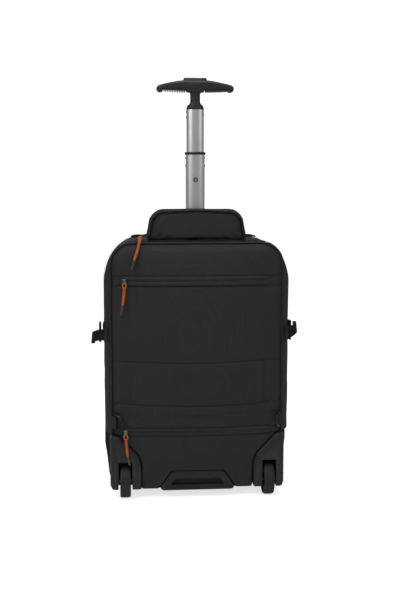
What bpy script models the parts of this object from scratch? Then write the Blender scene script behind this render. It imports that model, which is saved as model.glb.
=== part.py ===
"""A pilot's soft cabin case on two wheels, with a pull-out trolley handle.

X runs across the case, -Y is the wheel and handle side, +Y the front, and +Z is up. The origin
is on the floor, under the middle of the case. All sizes are in metres.
"""

import math

import bmesh
import bpy
from mathutils import Matrix, Vector

# Driving dimensions
GAP = 0.0004  # air between two pieces that touch
WALL = 0.0035  # padded fabric

BODY_FLOOR = 0.0173
TAPER_TOP = 0.110  # the sides lean in below this height
TAPER = 0.015
FOOT_RADIUS = 0.018
# Sections of the bag: depth, half width, top, corner width and corner height.
BODY_SECTIONS = (
    (-0.084, 0.1600, 0.4860, 0.042, 0.045),
    (-0.078, 0.1665, 0.4880, 0.050, 0.056),
    (-0.070, 0.1710, 0.4905, 0.060, 0.068),
    (-0.058, 0.1745, 0.4925, 0.070, 0.084),
    (0.000, 0.1760, 0.4930, 0.076, 0.092),
    (0.045, 0.1750, 0.4925, 0.074, 0.090),
    (0.062, 0.1725, 0.4905, 0.070, 0.084),
)
PARTITION = (-0.062, -0.059)  # wall between the strap compartment and the main one
SHELF = (0.0605, 0.064)  # floor of the strap compartment

PANEL_HALF = 0.1583
PANEL_LOW = 0.0175
PANEL_TOP = 0.482
PANEL_CORNER = 0.038
PANEL_EDGE_Y = -0.0885
PANEL_THICK = 0.004
PANEL_ROLL = 0.008  # how far the padded edge rolls outwards, over ROLL_WIDTH
ROLL_WIDTH = 0.014
CROWN = 0.015
CROWN_HALF = 0.150
CROWN_Z = 0.250
CROWN_HEIGHT = 0.240
COVER_LOW = 0.1665
COVER_PIVOT = (0.0, -0.1125, COVER_LOW)
PIPING = 0.0024
PIPING_Y = -0.0869

WHEEL_X = 0.1365
AXLE = (-0.080, 0.033)
WHEEL_RADIUS = 0.033
TYRE_WIDTH = 0.018
RIM_RADIUS = 0.0235
AXLE_RADIUS = 0.003
WELL_RADIUS = 0.040
WELL_WIDTH = 0.027
HOUSING_Y = (-0.104, -0.036)
HOUSING_TOP = 0.124
HOUSING_OUTER = 0.165
HOUSING_INNER = 0.106

POLE_Y = -0.042
# Width and depth of each tube of the handle, outside.
GUIDE = (0.0410, 0.0290)
MID = (0.0360, 0.0240)
INNER = (0.0328, 0.0208)
TUBE_WALL = 0.0012
GUIDE_Z = (0.0450, 0.4880)
MID_Z = (0.330, 0.6478)
INNER_Z = (0.418, 0.7310)
COLLAR_TOP = 0.6525
LOCK_Z = 0.601
GRIP_TOP = 0.784

LID_SECTIONS = (
    (0.0625, 0.1723, 0.4900, 0.0190, 0.070, 0.084),
    (0.0780, 0.1700, 0.4870, 0.0210, 0.068, 0.080),
    (0.0870, 0.1620, 0.4790, 0.0290, 0.062, 0.072),
    (0.0920, 0.1480, 0.4650, 0.0430, 0.052, 0.060),
)
LID_PIVOT = (0.0, 0.100, 0.022)
POCKET_SECTIONS = (
    (0.0925, 0.1300, 0.4000, 0.0750, 0.034, 0.034),
    (0.1070, 0.1280, 0.3980, 0.0770, 0.033, 0.033),
    (0.1150, 0.1140, 0.3840, 0.0910, 0.028, 0.028),
)

TOP_ZIP_Z = 0.4155
LOWER_ZIP_Z = 0.131
ZIP_HALF = 0.1345
ZIP_WIDTH = 0.010
ZIP_THICK = 0.0022
COIL_RADIUS = 0.0015  # the closing zips of the cover and the lid, and how far they stand off
ZIP_STAND = 0.0027
COVER_ZIP_Y = -0.0815
MAIN_ZIP_Y = 0.0598
SLIDER = (0.008, 0.0032, 0.010)
CORD_RADIUS = 0.0024
TIP_RADIUS = 0.0023
TIP_LENGTH = 0.018
STRAP_Z = (0.299, 0.322)
TAIL_Y = (-0.0645, -0.0620)  # where a strap's loose tail stands out from the side
RING_WIRE = 0.0018
RING_Z = (0.1370, 0.1632)
RING_HINGE = (0.1555, -0.0975)
RING_REACH = 0.0165

for old in list(bpy.data.objects):
    bpy.data.objects.remove(old)

PARTS = bpy.data.collections.new("pilot_rolling_flight_case")
CUTTERS = bpy.data.collections.new("cutters")
bpy.context.scene.collection.children.link(PARTS)
bpy.context.scene.collection.children.link(CUTTERS)


def material(name, colour, roughness, metallic=0.0):
    """A plain finish: its colour, roughness and metallic value."""
    finish = bpy.data.materials.new(name)
    finish.use_nodes = True
    shader = finish.node_tree.nodes["Principled BSDF"]
    shader.inputs["Base Color"].default_value = (*colour, 1.0)
    shader.inputs["Roughness"].default_value = roughness
    shader.inputs["Metallic"].default_value = metallic
    return finish


FABRIC = material("coated_fabric", (0.024, 0.024, 0.025), 0.62)
WEBBING = material("webbing", (0.010, 0.010, 0.011), 0.75)
PADDING = material("mesh_padding", (0.020, 0.020, 0.021), 0.85)
MOULDED = material("moulded_plastic", (0.026, 0.026, 0.028), 0.48)
GRIP = material("grip_plastic", (0.030, 0.030, 0.032), 0.42)
RUBBER = material("tyre_rubber", (0.018, 0.018, 0.019), 0.70)
ALUMINIUM = material("satin_aluminium", (0.62, 0.62, 0.63), 0.34, 1.0)
STEEL = material("steel", (0.50, 0.50, 0.51), 0.30, 1.0)
DARK_METAL = material("dark_metal", (0.060, 0.060, 0.062), 0.30, 1.0)
COIL = material("zip_coil", (0.014, 0.014, 0.015), 0.45)
CORD = material("orange_cord", (0.58, 0.13, 0.026), 0.70)
BOARD = material("backing_board", (0.050, 0.050, 0.052), 0.55)


def add(obj, name, finish=None, pivot=None):
    """Files a piece under its name with its finish, and puts its origin on its joint's axis."""
    obj.name = name
    obj.data.name = name
    for collection in list(obj.users_collection):
        collection.objects.unlink(obj)
    home = PARTS if finish else CUTTERS
    home.objects.link(obj)
    if finish:
        obj.data.materials.clear()
        obj.data.materials.append(finish)
    else:
        obj.hide_render = True
        obj.display_type = "WIRE"
    if pivot:
        obj.data.transform(Matrix.Translation(-Vector(pivot)) @ obj.matrix_world)
        obj.matrix_world = Matrix.Translation(pivot)
    return obj


def mesh_object(bm):
    """An object made of a bmesh, with its faces pointing out."""
    bm.normal_update()
    bmesh.ops.recalc_face_normals(bm, faces=bm.faces)
    mesh = bpy.data.meshes.new("mesh")
    bm.to_mesh(mesh)
    bm.free()
    obj = bpy.data.objects.new("mesh", mesh)
    bpy.context.scene.collection.objects.link(obj)
    return obj


def block(low, high):
    """A box between two corners."""
    bm = bmesh.new()
    bmesh.ops.create_cube(bm, size=1.0)
    size = Vector(high) - Vector(low)
    centre = (Vector(high) + Vector(low)) / 2
    bm.transform(Matrix.Translation(centre) @ Matrix.Diagonal((*size, 1.0)))
    return mesh_object(bm)


def rod(radius, length, centre, axis="Z", sides=24):
    """A cylinder along one axis."""
    turn = {"X": Matrix.Rotation(math.pi / 2, 4, "Y"), "Y": Matrix.Rotation(math.pi / 2, 4, "X")}
    bm = bmesh.new()
    bmesh.ops.create_cone(
        bm, cap_ends=True, segments=sides, radius1=radius, radius2=radius, depth=length
    )
    bm.transform(Matrix.Translation(centre) @ turn.get(axis, Matrix.Identity(4)))
    return mesh_object(bm)


def rounded(corners, steps=4):
    """The points of an outline whose corners (x, y, radius) are rounded with arcs."""
    points = []
    for i, (x, y, radius) in enumerate(corners):
        here = Vector((x, y))
        back = Vector(corners[i - 1][:2]) - here
        on = Vector(corners[(i + 1) % len(corners)][:2]) - here
        turn = back.angle(on)
        if radius <= 0.0 or turn > math.radians(178.0):
            points.append(here)
            continue
        reach = min(radius / math.tan(turn / 2), 0.49 * back.length, 0.49 * on.length)
        start, end = here + back.normalized() * reach, here + on.normalized() * reach
        inwards = (back.normalized() + on.normalized()).normalized()
        centre = here + inwards * reach / math.cos(turn / 2)
        spoke = start - centre
        sweep = math.copysign(math.pi - turn, spoke.cross(end - centre))
        for k in range(steps + 1):
            angle = sweep * k / steps
            points.append(centre + Matrix.Rotation(angle, 2) @ spoke)
    return points


def grown(corners, distance):
    """The same outline, anticlockwise, moved outwards by a distance."""
    result = []
    for i, (x, y, radius) in enumerate(corners):
        here = Vector((x, y))
        along = (here - Vector(corners[i - 1][:2])).normalized()
        on = (Vector(corners[(i + 1) % len(corners)][:2]) - here).normalized()
        first, second = Vector((along.y, -along.x)), Vector((on.y, -on.x))
        moved = here + (first + second) * (distance / (1 + first.dot(second)))
        result.append((moved.x, moved.y, radius + distance if radius else 0.0))
    return result


def solid_from_curve(curve):
    """A curve object as a closed mesh object."""
    bpy.context.view_layer.update()
    seen = curve.evaluated_get(bpy.context.evaluated_depsgraph_get())
    mesh = bpy.data.meshes.new_from_object(seen)
    bm = bmesh.new()
    bm.from_mesh(mesh)
    bpy.data.meshes.remove(mesh)
    bmesh.ops.remove_doubles(bm, verts=bm.verts, dist=0.00001)
    bmesh.ops.dissolve_limit(bm, angle_limit=0.001, verts=bm.verts, edges=bm.edges)
    obj = mesh_object(bm)
    obj.matrix_world = curve.matrix_world
    bpy.data.objects.remove(curve)
    return obj


def extruded(outlines, low, high, axis="Y"):
    """A plate of the given outlines, the second and later ones holes, between two heights.

    Along Y an outline's points are (x, z), along Z they are (x, y) and along X they are (y, z).
    """
    curve = bpy.data.curves.new("outline", "CURVE")
    curve.dimensions = "2D"
    curve.fill_mode = "BOTH"
    curve.extrude = (high - low) / 2
    for outline in outlines:
        spline = curve.splines.new("POLY")
        spline.points.add(len(outline) - 1)
        for point, place in zip(spline.points, outline):
            point.co = (place[0], place[1], 0.0, 1.0)
        spline.use_cyclic_u = True
    obj = bpy.data.objects.new("outline", curve)
    bpy.context.scene.collection.objects.link(obj)
    middle = (low + high) / 2
    if axis == "Y":
        obj.matrix_world = Matrix.Translation((0, middle, 0)) @ Matrix.Rotation(
            math.pi / 2, 4, "X"
        )
    elif axis == "X":
        turn = Matrix.Rotation(math.pi / 2, 4, "Z") @ Matrix.Rotation(math.pi / 2, 4, "X")
        obj.matrix_world = Matrix.Translation((middle, 0, 0)) @ turn
    else:
        obj.matrix_world = Matrix.Translation((0, 0, middle))
    return solid_from_curve(obj)


def wire(points, radius, resolution=2, closed=False):
    """A round tube along points."""
    curve = bpy.data.curves.new("wire", "CURVE")
    curve.dimensions = "3D"
    curve.bevel_depth = radius
    curve.bevel_resolution = resolution
    curve.use_fill_caps = not closed
    spline = curve.splines.new("POLY")
    spline.points.add(len(points) - 1)
    for point, place in zip(spline.points, points):
        point.co = (*place, 1.0)
    spline.use_cyclic_u = closed
    obj = bpy.data.objects.new("wire", curve)
    bpy.context.scene.collection.objects.link(obj)
    return solid_from_curve(obj)


def loft(sections):
    """A solid through sections (depth, outline in X and Z) that all have the same point count."""
    bm = bmesh.new()
    rings = [[bm.verts.new((x, y, z)) for x, z in outline] for y, outline in sections]
    count = len(rings[0])
    for near, far in zip(rings, rings[1:]):
        for i in range(count):
            j = (i + 1) % count
            bm.faces.new((near[i], near[j], far[j], far[i]))
    bm.faces.new(rings[0])
    bm.faces.new(rings[-1])
    return mesh_object(bm)


def turned(profile, centre, steps=28):
    """A ring turned about a line along X, from a closed profile of (radius, x) points."""
    mesh = bpy.data.meshes.new("profile")
    count = len(profile)
    mesh.from_pydata(
        [(radius, 0.0, x) for radius, x in profile],
        [(i, (i + 1) % count) for i in range(count)],
        [],
    )
    obj = bpy.data.objects.new("profile", mesh)
    bpy.context.scene.collection.objects.link(obj)
    screw = obj.modifiers.new("Screw", "SCREW")
    screw.steps = steps
    screw.render_steps = steps
    screw.use_merge_vertices = True
    screw.merge_threshold = 0.00001
    obj.rotation_euler = (0.0, math.pi / 2, 0.0)
    obj.location = centre
    return obj


def bevel(obj, width, segments=2, angle=40.0):
    """Rounds the sharp edges of a piece."""
    edge = obj.modifiers.new("Bevel", "BEVEL")
    edge.width = width
    edge.segments = segments
    edge.limit_method = "ANGLE"
    edge.angle_limit = math.radians(angle)
    return obj


def boolean(obj, other, operation="DIFFERENCE"):
    """Cuts or joins a piece with a cutter."""
    step = obj.modifiers.new("Boolean", "BOOLEAN")
    step.operation = operation
    step.object = other
    return obj


def smooth_path(points, count):
    """Evenly counted points on a smooth curve through the given ones."""
    ends = [2 * Vector(points[0]) - Vector(points[1])]
    tail = [2 * Vector(points[-1]) - Vector(points[-2])]
    knots = ends + [Vector(p) for p in points] + tail
    path = []
    for k in range(count):
        at = k / (count - 1) * (len(points) - 1)
        i = min(int(at), len(points) - 2)
        t = at - i
        a, b, c, d = knots[i : i + 4]
        path.append(
            0.5
            * (2 * b + (c - a) * t + (2 * a - 5 * b + 4 * c - d) * t**2 + (3 * b - a - 3 * c + d) * t**3)
        )
    return path


def bag_outline(half, top, corner_x, corner_z, grow=0.0, floor=BODY_FLOOR):
    """The bag's outline in X and Z at one depth, from the bottom right round to the bottom left."""
    half, top, floor = half + grow, top + grow, floor - grow
    foot, foot_half = FOOT_RADIUS + grow, half - TAPER
    corner_x, corner_z = corner_x + grow, corner_z + grow
    right = []
    for k in range(5):
        angle = math.radians(-90 + 90 * k / 4)
        right.append(
            (foot_half - foot + foot * math.cos(angle), floor + foot + foot * math.sin(angle))
        )
    right.append((half, TAPER_TOP))
    for k in range(9):
        angle = math.radians(90 * k / 8)
        right.append(
            (
                half - corner_x + corner_x * math.cos(angle),
                top - corner_z + corner_z * math.sin(angle),
            )
        )
    return right + [(-x, z) for x, z in reversed(right)]


def body_section(y):
    """The bag's half width, top, corner width and corner height at any depth."""
    for near, far in zip(BODY_SECTIONS, BODY_SECTIONS[1:]):
        if y <= far[0]:
            t = (y - near[0]) / (far[0] - near[0])
            return [a + (b - a) * t for a, b in zip(near[1:], far[1:])]
    return list(BODY_SECTIONS[-1][1:])


def crown_scale(z):
    """How much of the crown the rear panel has at a height."""
    return max(0.0, 1.0 - ((z - CROWN_Z) / CROWN_HEIGHT) ** 4)


def panel_face(x, z):
    """The Y of the rear panel's outer face: a rolled edge, then a shallow crown."""
    middle, tall = (PANEL_LOW + PANEL_TOP) / 2, (PANEL_TOP - PANEL_LOW) / 2
    across = abs(x) - (PANEL_HALF - PANEL_CORNER)
    up = abs(z - middle) - (tall - PANEL_CORNER)
    outside = math.hypot(max(across, 0.0), max(up, 0.0)) + min(max(across, up), 0.0)
    depth = min(max(PANEL_CORNER - outside, 0.0) / ROLL_WIDTH, 1.0)
    roll = PANEL_ROLL * (1.0 - (1.0 - depth) ** 2)
    crown = CROWN * max(0.0, 1.0 - (x / CROWN_HALF) ** 2) * crown_scale(z)
    return PANEL_EDGE_Y - roll - crown


def housing_corners(outer, floor):
    """The outline of the right wheel housing in X and Z, anticlockwise."""
    return [
        (HOUSING_INNER, floor, 0.004),
        (outer, floor, 0.003),
        (outer, HOUSING_TOP, 0.008),
        (0.149, HOUSING_TOP, 0.014),
        (0.1115, 0.086, 0.016),
        (HOUSING_INNER, 0.070, 0.012),
    ]


def mirrored(points):
    """An outline mirrored from right to left."""
    return [(-point[0], point[1]) for point in reversed(points)]


def for_side(points, side):
    """An outline for the right (side 1) or the left (side -1)."""
    return points if side > 0 else mirrored(points)


def housing_cutter(name, grow, front):
    """Cuts room for a housing, on both sides, out to beyond the bag."""
    cutters = []
    for side in (1, -1):
        corners = grown(housing_corners(0.19, -0.01), grow)
        cutter = extruded([for_side(rounded(corners), side)], -0.12, front)
        cutters.append(add(cutter, f"{name}_{'right' if side > 0 else 'left'}"))
    return cutters


def make_body():
    """The bag: side walls, floor, top and the wall in front of the strap compartment."""
    notches = housing_cutter("housing_notch", GAP, HOUSING_Y[1] + GAP)
    walls = housing_cutter("housing_wall", GAP + WALL, HOUSING_Y[1] + GAP + WALL)
    main = [(y, bag_outline(*rest, grow=-WALL)) for y, *rest in BODY_SECTIONS if y > PARTITION[1]]
    first = bag_outline(*body_section(PARTITION[1]), grow=-WALL)
    last = bag_outline(*BODY_SECTIONS[-1][1:], grow=-WALL)
    hollow = add(loft([(PARTITION[1], first), *main, (0.070, last)]), "main_hollow")
    rim = bag_outline(*BODY_SECTIONS[0][1:], grow=-WALL)
    straps = add(loft([(-0.095, rim), (PARTITION[0], rim)]), "strap_hollow")
    shelf = add(block((-0.2, -0.1, -0.02), (0.2, -0.05, SHELF[1])), "shelf_block")
    boolean(straps, shelf)
    for wall in walls:
        boolean(hollow, wall)
        boolean(straps, wall)
    beam = add(block((-0.12, -0.1, -0.02), (0.12, PARTITION[0] - 0.0002, SHELF[0])), "beam_notch")
    hole = extruded([tube_outline(*MID, 0.0012)], 0.480, 0.500, "Z")
    body = loft([(y, bag_outline(*rest)) for y, *rest in BODY_SECTIONS])
    add(body, "body_shell", FABRIC)
    for cutter in (*notches, beam, hollow, straps, add(hole, "handle_hole")):
        boolean(body, cutter)


def make_base():
    """The boards and trays that stiffen the bag, and its feet."""
    add(block((-0.098, -0.0585, 0.062), (0.098, -0.0571, 0.470)), "back_board", BOARD)
    beam = block((-0.1035, -0.0844, 0.0176), (0.1035, -0.0626, 0.0600))
    add(beam, "base_beam", MOULDED)
    hollow = block((-0.1005, -0.0814, 0.0), (0.1005, -0.0656, 0.0570))
    boolean(beam, add(hollow, "beam_hollow"))
    socket = block((-0.026, -0.0565, 0.0212), (0.026, -0.0270, 0.0446))
    bevel(add(socket, "guide_socket", MOULDED), 0.002, 1)
    for side, word in ((-1, "left"), (1, "right")):
        foot = block((side * 0.120 - 0.013, 0.030, 0.0), (side * 0.120 + 0.013, 0.074, 0.0169))
        add(foot, f"front_foot_{word}", MOULDED)
        bevel(foot, 0.004, 2)


def make_housings():
    """The wheel housings, with their wells and axle holes."""
    for side, word in ((-1, "left"), (1, "right")):
        x = side * WHEEL_X
        outline = rounded(housing_corners(HOUSING_OUTER, BODY_FLOOR - 0.0001))
        housing = extruded([for_side(outline, side)], *HOUSING_Y)
        add(housing, f"wheel_housing_{word}", MOULDED)
        well = rod(WELL_RADIUS, WELL_WIDTH, (x, *AXLE), "X", 40)
        boolean(housing, add(well, f"wheel_well_{word}"))
        low = block((x - 0.0134, -0.12, -0.03), (x + 0.0134, AXLE[0], AXLE[1]))
        boolean(housing, add(low, f"well_mouth_{word}"))
        hole = rod(AXLE_RADIUS + 0.0004, 0.044, (x, *AXLE), "X", 16)
        boolean(housing, add(hole, f"axle_hole_{word}"))
        inner = block((x - 0.012, HOUSING_Y[0] + 0.006, 0.078), (x + 0.024, 0.0, 0.112))
        outer = block((x - 0.024, HOUSING_Y[0] + 0.006, 0.078), (x + 0.012, 0.0, 0.112))
        boolean(housing, add(inner if side > 0 else outer, f"housing_hollow_{word}"))
        bpy.data.objects.remove(outer if side > 0 else inner)


def make_wheels():
    """Each wheel: a tyre on a moulded hub, on a steel axle."""
    half, shoulder = TYRE_WIDTH / 2, 0.003
    tyre = [
        (WHEEL_RADIUS - shoulder, half),
        (WHEEL_RADIUS - 0.0008, half - 0.0010),
        (WHEEL_RADIUS, half - shoulder),
        (WHEEL_RADIUS, shoulder - half),
        (WHEEL_RADIUS - 0.0008, 0.0010 - half),
        (WHEEL_RADIUS - shoulder, -half),
        (RIM_RADIUS + GAP, -half),
        (RIM_RADIUS + GAP, half),
    ]
    bore = AXLE_RADIUS + 0.0003
    hub = [
        (RIM_RADIUS, 0.0085),
        (RIM_RADIUS, -0.0085),
        (RIM_RADIUS - 0.003, -0.0085),
        (RIM_RADIUS - 0.004, -0.0030),
        (0.0085, -0.0030),
        (0.0070, -0.0105),
        (bore, -0.0105),
        (bore, 0.0105),
        (0.0070, 0.0105),
        (0.0085, 0.0030),
        (RIM_RADIUS - 0.004, 0.0030),
        (RIM_RADIUS - 0.003, 0.0085),
    ]
    for side, word in ((-1, "left"), (1, "right")):
        centre = (side * WHEEL_X, *AXLE)
        add(turned(tyre, centre, 36), f"tyre_{word}", RUBBER)
        add(turned(hub, centre, 28), f"wheel_hub_{word}", MOULDED)
        add(rod(AXLE_RADIUS, 0.042, centre, "X", 16), f"axle_{word}", STEEL)


def kick_corners():
    """The outline of the bottom grab plate."""
    return [
        (-0.0750, 0.0160, 0.006),
        (0.0750, 0.0160, 0.006),
        (0.0495, 0.0550, 0.008),
        (-0.0495, 0.0550, 0.008),
    ]


def make_kick_plate():
    """The moulded plate between the wheels, with a recess for the fingers."""
    plate = add(extruded([rounded(kick_corners())], -0.1000, -0.0848), "kick_plate", MOULDED)
    bevel(plate, 0.0025, 2, 60.0)
    recess = rounded(
        [(-0.050, 0.026, 0.003), (0.050, 0.026, 0.003), (0.044, 0.036, 0.003), (-0.044, 0.036, 0.003)]
    )
    boolean(plate, add(extruded([recess], -0.110, -0.089), "finger_recess"))


def crowned_slab(low, high, rows, reach):
    """A slab that follows the rear panel's face between two heights."""
    bm = bmesh.new()
    bmesh.ops.create_grid(bm, x_segments=18, y_segments=rows, size=1.0)
    for vert in bm.verts:
        x = reach * math.sin(vert.co.x * math.pi / 2)
        t = (vert.co.y + 1) / 2
        z = low + (high - low) * (math.sin(t * math.pi / 2) if high > 0.4 else t)
        vert.co = (x, panel_face(x, z), z)
    made = bmesh.ops.extrude_face_region(bm, geom=bm.faces[:])
    inner = [item for item in made["geom"] if isinstance(item, bmesh.types.BMVert)]
    bmesh.ops.translate(bm, verts=inner, vec=(0.0, PANEL_THICK, 0.0))
    return mesh_object(bm)


def make_rear_panels():
    """The zipped cover over the shoulder straps, and the fixed panel below its hinge."""
    corners = [
        (-PANEL_HALF, COVER_LOW + GAP, 0.0),
        (PANEL_HALF, COVER_LOW + GAP, 0.0),
        (PANEL_HALF, PANEL_TOP, PANEL_CORNER),
        (-PANEL_HALF, PANEL_TOP, PANEL_CORNER),
    ]
    cover = crowned_slab(COVER_LOW - 0.001, PANEL_TOP + 0.0002, 14, PANEL_HALF + 0.001)
    add(cover, "rear_cover", FABRIC, COVER_PIVOT)
    shape = add(extruded([rounded(corners, 6)], -0.14, -0.06), "cover_shape")
    boolean(cover, shape, "INTERSECT")

    lower = crowned_slab(PANEL_LOW - 0.001, COVER_LOW + 0.001, 7, PANEL_HALF + 0.001)
    add(lower, "lower_back_panel", FABRIC)
    corners = [
        (-PANEL_HALF, PANEL_LOW, 0.0),
        (PANEL_HALF, PANEL_LOW, 0.0),
        (PANEL_HALF, COVER_LOW - GAP, 0.0),
        (-PANEL_HALF, COVER_LOW - GAP, 0.0),
    ]
    shape = add(extruded([rounded(corners)], -0.14, -0.06), "lower_shape")
    kick = extruded([rounded(grown(kick_corners(), 2 * GAP))], -0.15, -0.05)
    for cutter in (*housing_cutter("panel_notch", 2 * GAP, -0.04), add(kick, "kick_notch")):
        boolean(shape, cutter)
    boolean(lower, shape, "INTERSECT")


def edge_path(half, top, radius, low, y):
    """Points up the left side, over the top and down the right side of the rear panel."""
    points = [Vector((-half, y, low)), Vector((-half, y, (low + top - radius) / 2))]
    for k in range(9):
        angle = math.radians(180 - 90 * k / 8)
        points.append(
            Vector(
                (radius - half + radius * math.cos(angle), y, top - radius + radius * math.sin(angle))
            )
        )
    right = [Vector((-p.x, p.y, p.z)) for p in reversed(points)]
    return points + [Vector((0.0, y, top))] + right


def make_edges():
    """The piping round the cover, and the zip that closes it, on the bag's rim."""
    out = PIPING + GAP
    half, top, radius = PANEL_HALF + out, PANEL_TOP + out, PANEL_CORNER + out
    piping = wire(edge_path(half, top, radius, COVER_LOW + 2 * GAP, PIPING_Y), PIPING)
    add(piping, "rear_piping", FABRIC, COVER_PIVOT)
    outline = bag_outline(*body_section(COVER_ZIP_Y), grow=ZIP_STAND)
    half = outline[6][0]
    points = [(half, COVER_LOW), *outline[6:-6], (-half, COVER_LOW)]
    track = wire([(x, COVER_ZIP_Y, z) for x, z in points], COIL_RADIUS)
    add(track, "cover_zip", COIL)


def zip_outline(z, lift, thick, half):
    """A strip seen from above that follows the rear panel at a height, lift away from it."""
    outer, inner = [], []
    for k in range(17):
        x = half * (2 * k / 16 - 1)
        face = min(panel_face(x, z - ZIP_WIDTH / 2), panel_face(x, z + ZIP_WIDTH / 2)) - lift
        outer.append((x, face - thick))
        inner.append((x, face))
    return outer + inner[::-1]


def zip_centre(z):
    """The upright axis, and the radius, of the arc that a zip on the rear panel follows."""
    radius = CROWN_HALF**2 / (2 * CROWN * crown_scale(z))
    return radius + PANEL_EDGE_Y - PANEL_ROLL - CROWN * crown_scale(z), radius


def slider_at(x, y, z, turn, name, finish=DARK_METAL, flat=False):
    """A zip slider, turned about the upright axis to follow its zip."""
    width, deep, tall = SLIDER
    if flat:
        deep, tall = tall * 0.5, deep
    body = block((-width / 2, -deep / 2, -tall / 2), (width / 2, deep / 2, tall / 2))
    bevel(body, 0.0009, 1)
    body.matrix_world = Matrix.Translation((x, y, z)) @ Matrix.Rotation(turn, 4, "Z")
    return add(body, name, finish)


def make_pull(name, points, pivot):
    """A cord pull: a loose orange cord and the moulded tip on its end."""
    path = smooth_path(points, 18)
    length = sum((b - a).length for a, b in zip(path, path[1:]))
    walked, cut = 0.0, len(path) - 1
    while walked < TIP_LENGTH:
        walked += (path[cut] - path[cut - 1]).length
        cut -= 1
    end = path[cut] + (path[cut + 1] - path[cut]).normalized() * GAP
    assert length > 2 * TIP_LENGTH
    add(wire(path[: cut + 1], CORD_RADIUS), f"{name}_cord", CORD, pivot)
    add(wire([end, *path[cut + 1 :]], TIP_RADIUS), f"{name}_tip", MOULDED, pivot)


def make_zips():
    """The two zips across the rear, their sliders and pulls, and the cover's own slider."""
    for name, z, drop in (("top_zip", TOP_ZIP_Z, -0.0070), ("lower_zip", LOWER_ZIP_Z, 0.0070)):
        strip = extruded(
            [zip_outline(z, GAP, ZIP_THICK, ZIP_HALF + 0.003)],
            z - ZIP_WIDTH / 2,
            z + ZIP_WIDTH / 2,
            "Z",
        )
        add(strip, name, COIL, COVER_PIVOT if name == "top_zip" else None)
        centre, radius = zip_centre(z)
        turn = -math.asin(ZIP_HALF / radius)
        reach = radius + GAP + ZIP_THICK + 0.0010 + SLIDER[1] / 2
        x, y = reach * math.sin(turn), centre - reach * math.cos(turn)
        slider_at(x, y, z, turn, f"{name}_slider")
        out = y - SLIDER[1] / 2 - CORD_RADIUS
        route = [
            (x, out + 0.0010, z - 0.0060),
            (x + 0.05 * drop, out - 0.0012, z - 0.0140),
            (x + 0.25 * drop, out - 0.0022, z - 0.0300),
            (x + 0.60 * drop, out - 0.0026, z - 0.0460),
            (x + drop, out - 0.0026, z - 0.0615),
        ]
        make_pull(name, route, (x, y, z))
    x, y, z = -0.1055, COVER_ZIP_Y, 0.4938
    slider_at(x, y, z, 0.0, "cover_zip_slider", DARK_METAL, True)
    route = [
        (x, y - 0.0052, z + 0.0012),
        (x - 0.0004, -0.0945, 0.4925),
        (x - 0.0020, -0.1010, 0.4860),
        (x - 0.0050, -0.1045, 0.4740),
        (x - 0.0110, -0.1080, 0.4560),
        (x - 0.0165, -0.1100, 0.4375),
    ]
    make_pull("cover_zip", route, (x, y, z))


def tube_outline(width, depth, grow=0.0):
    """The outline of a flat oval tube, seen from above, on the handle's line."""
    half, deep = width / 2 + grow, depth / 2 + grow
    radius = 0.78 * deep
    corners = [
        (-half, POLE_Y - deep, radius),
        (half, POLE_Y - deep, radius),
        (half, POLE_Y + deep, radius),
        (-half, POLE_Y + deep, radius),
    ]
    return rounded(corners, 5)


def oval_tube(size, span):
    """A drawn tube of the handle."""
    return extruded([tube_outline(*size), tube_outline(*size, -TUBE_WALL)], *span, "Z")


def make_handle():
    """The two-stage trolley handle, its guide, its grip, and the button that unlocks it."""
    add(oval_tube(GUIDE, GUIDE_Z), "guide_tube", ALUMINIUM)
    bezel = extruded([tube_outline(0.054, 0.0325), tube_outline(*MID, 0.0005)], 0.4934, 0.4974, "Z")
    add(bezel, "guide_bezel", MOULDED)

    mid = add(oval_tube(MID, MID_Z), "mid_tube", ALUMINIUM)
    hole = rod(0.00425, 0.008, (0.0, POLE_Y - MID[1] / 2, LOCK_Z), "Y", 16)
    boolean(mid, add(hole, "mid_hole"))
    collar = [tube_outline(0.0386, 0.0266), tube_outline(*INNER, 0.0004)]
    add(extruded(collar, MID_Z[1] + 0.0003, COLLAR_TOP, "Z"), "mid_collar", MOULDED)
    bush = [tube_outline(0.0382, 0.0262), tube_outline(0.0290, 0.0170)]
    add(extruded(bush, MID_Z[0] - 0.0120, MID_Z[0] - 0.0003, "Z"), "mid_bush", MOULDED)

    inner = add(oval_tube(INNER, INNER_Z), "inner_tube", ALUMINIUM)
    hole = rod(0.0030, 0.006, (0.0, POLE_Y - INNER[1] / 2, LOCK_Z), "Y", 16)
    boolean(inner, add(hole, "inner_hole"))
    bush = [tube_outline(0.0332, 0.0212), tube_outline(0.0200, 0.0100)]
    add(extruded(bush, INNER_Z[0] - 0.0100, INNER_Z[0] - 0.0003, "Z"), "inner_bush", MOULDED)
    pin = rod(0.0026, 0.0090, (0.0, POLE_Y - INNER[1] / 2 + 0.0048, LOCK_Z), "Y", 12)
    add(pin, "inner_lock_pin", STEEL)
    make_grip()


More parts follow.
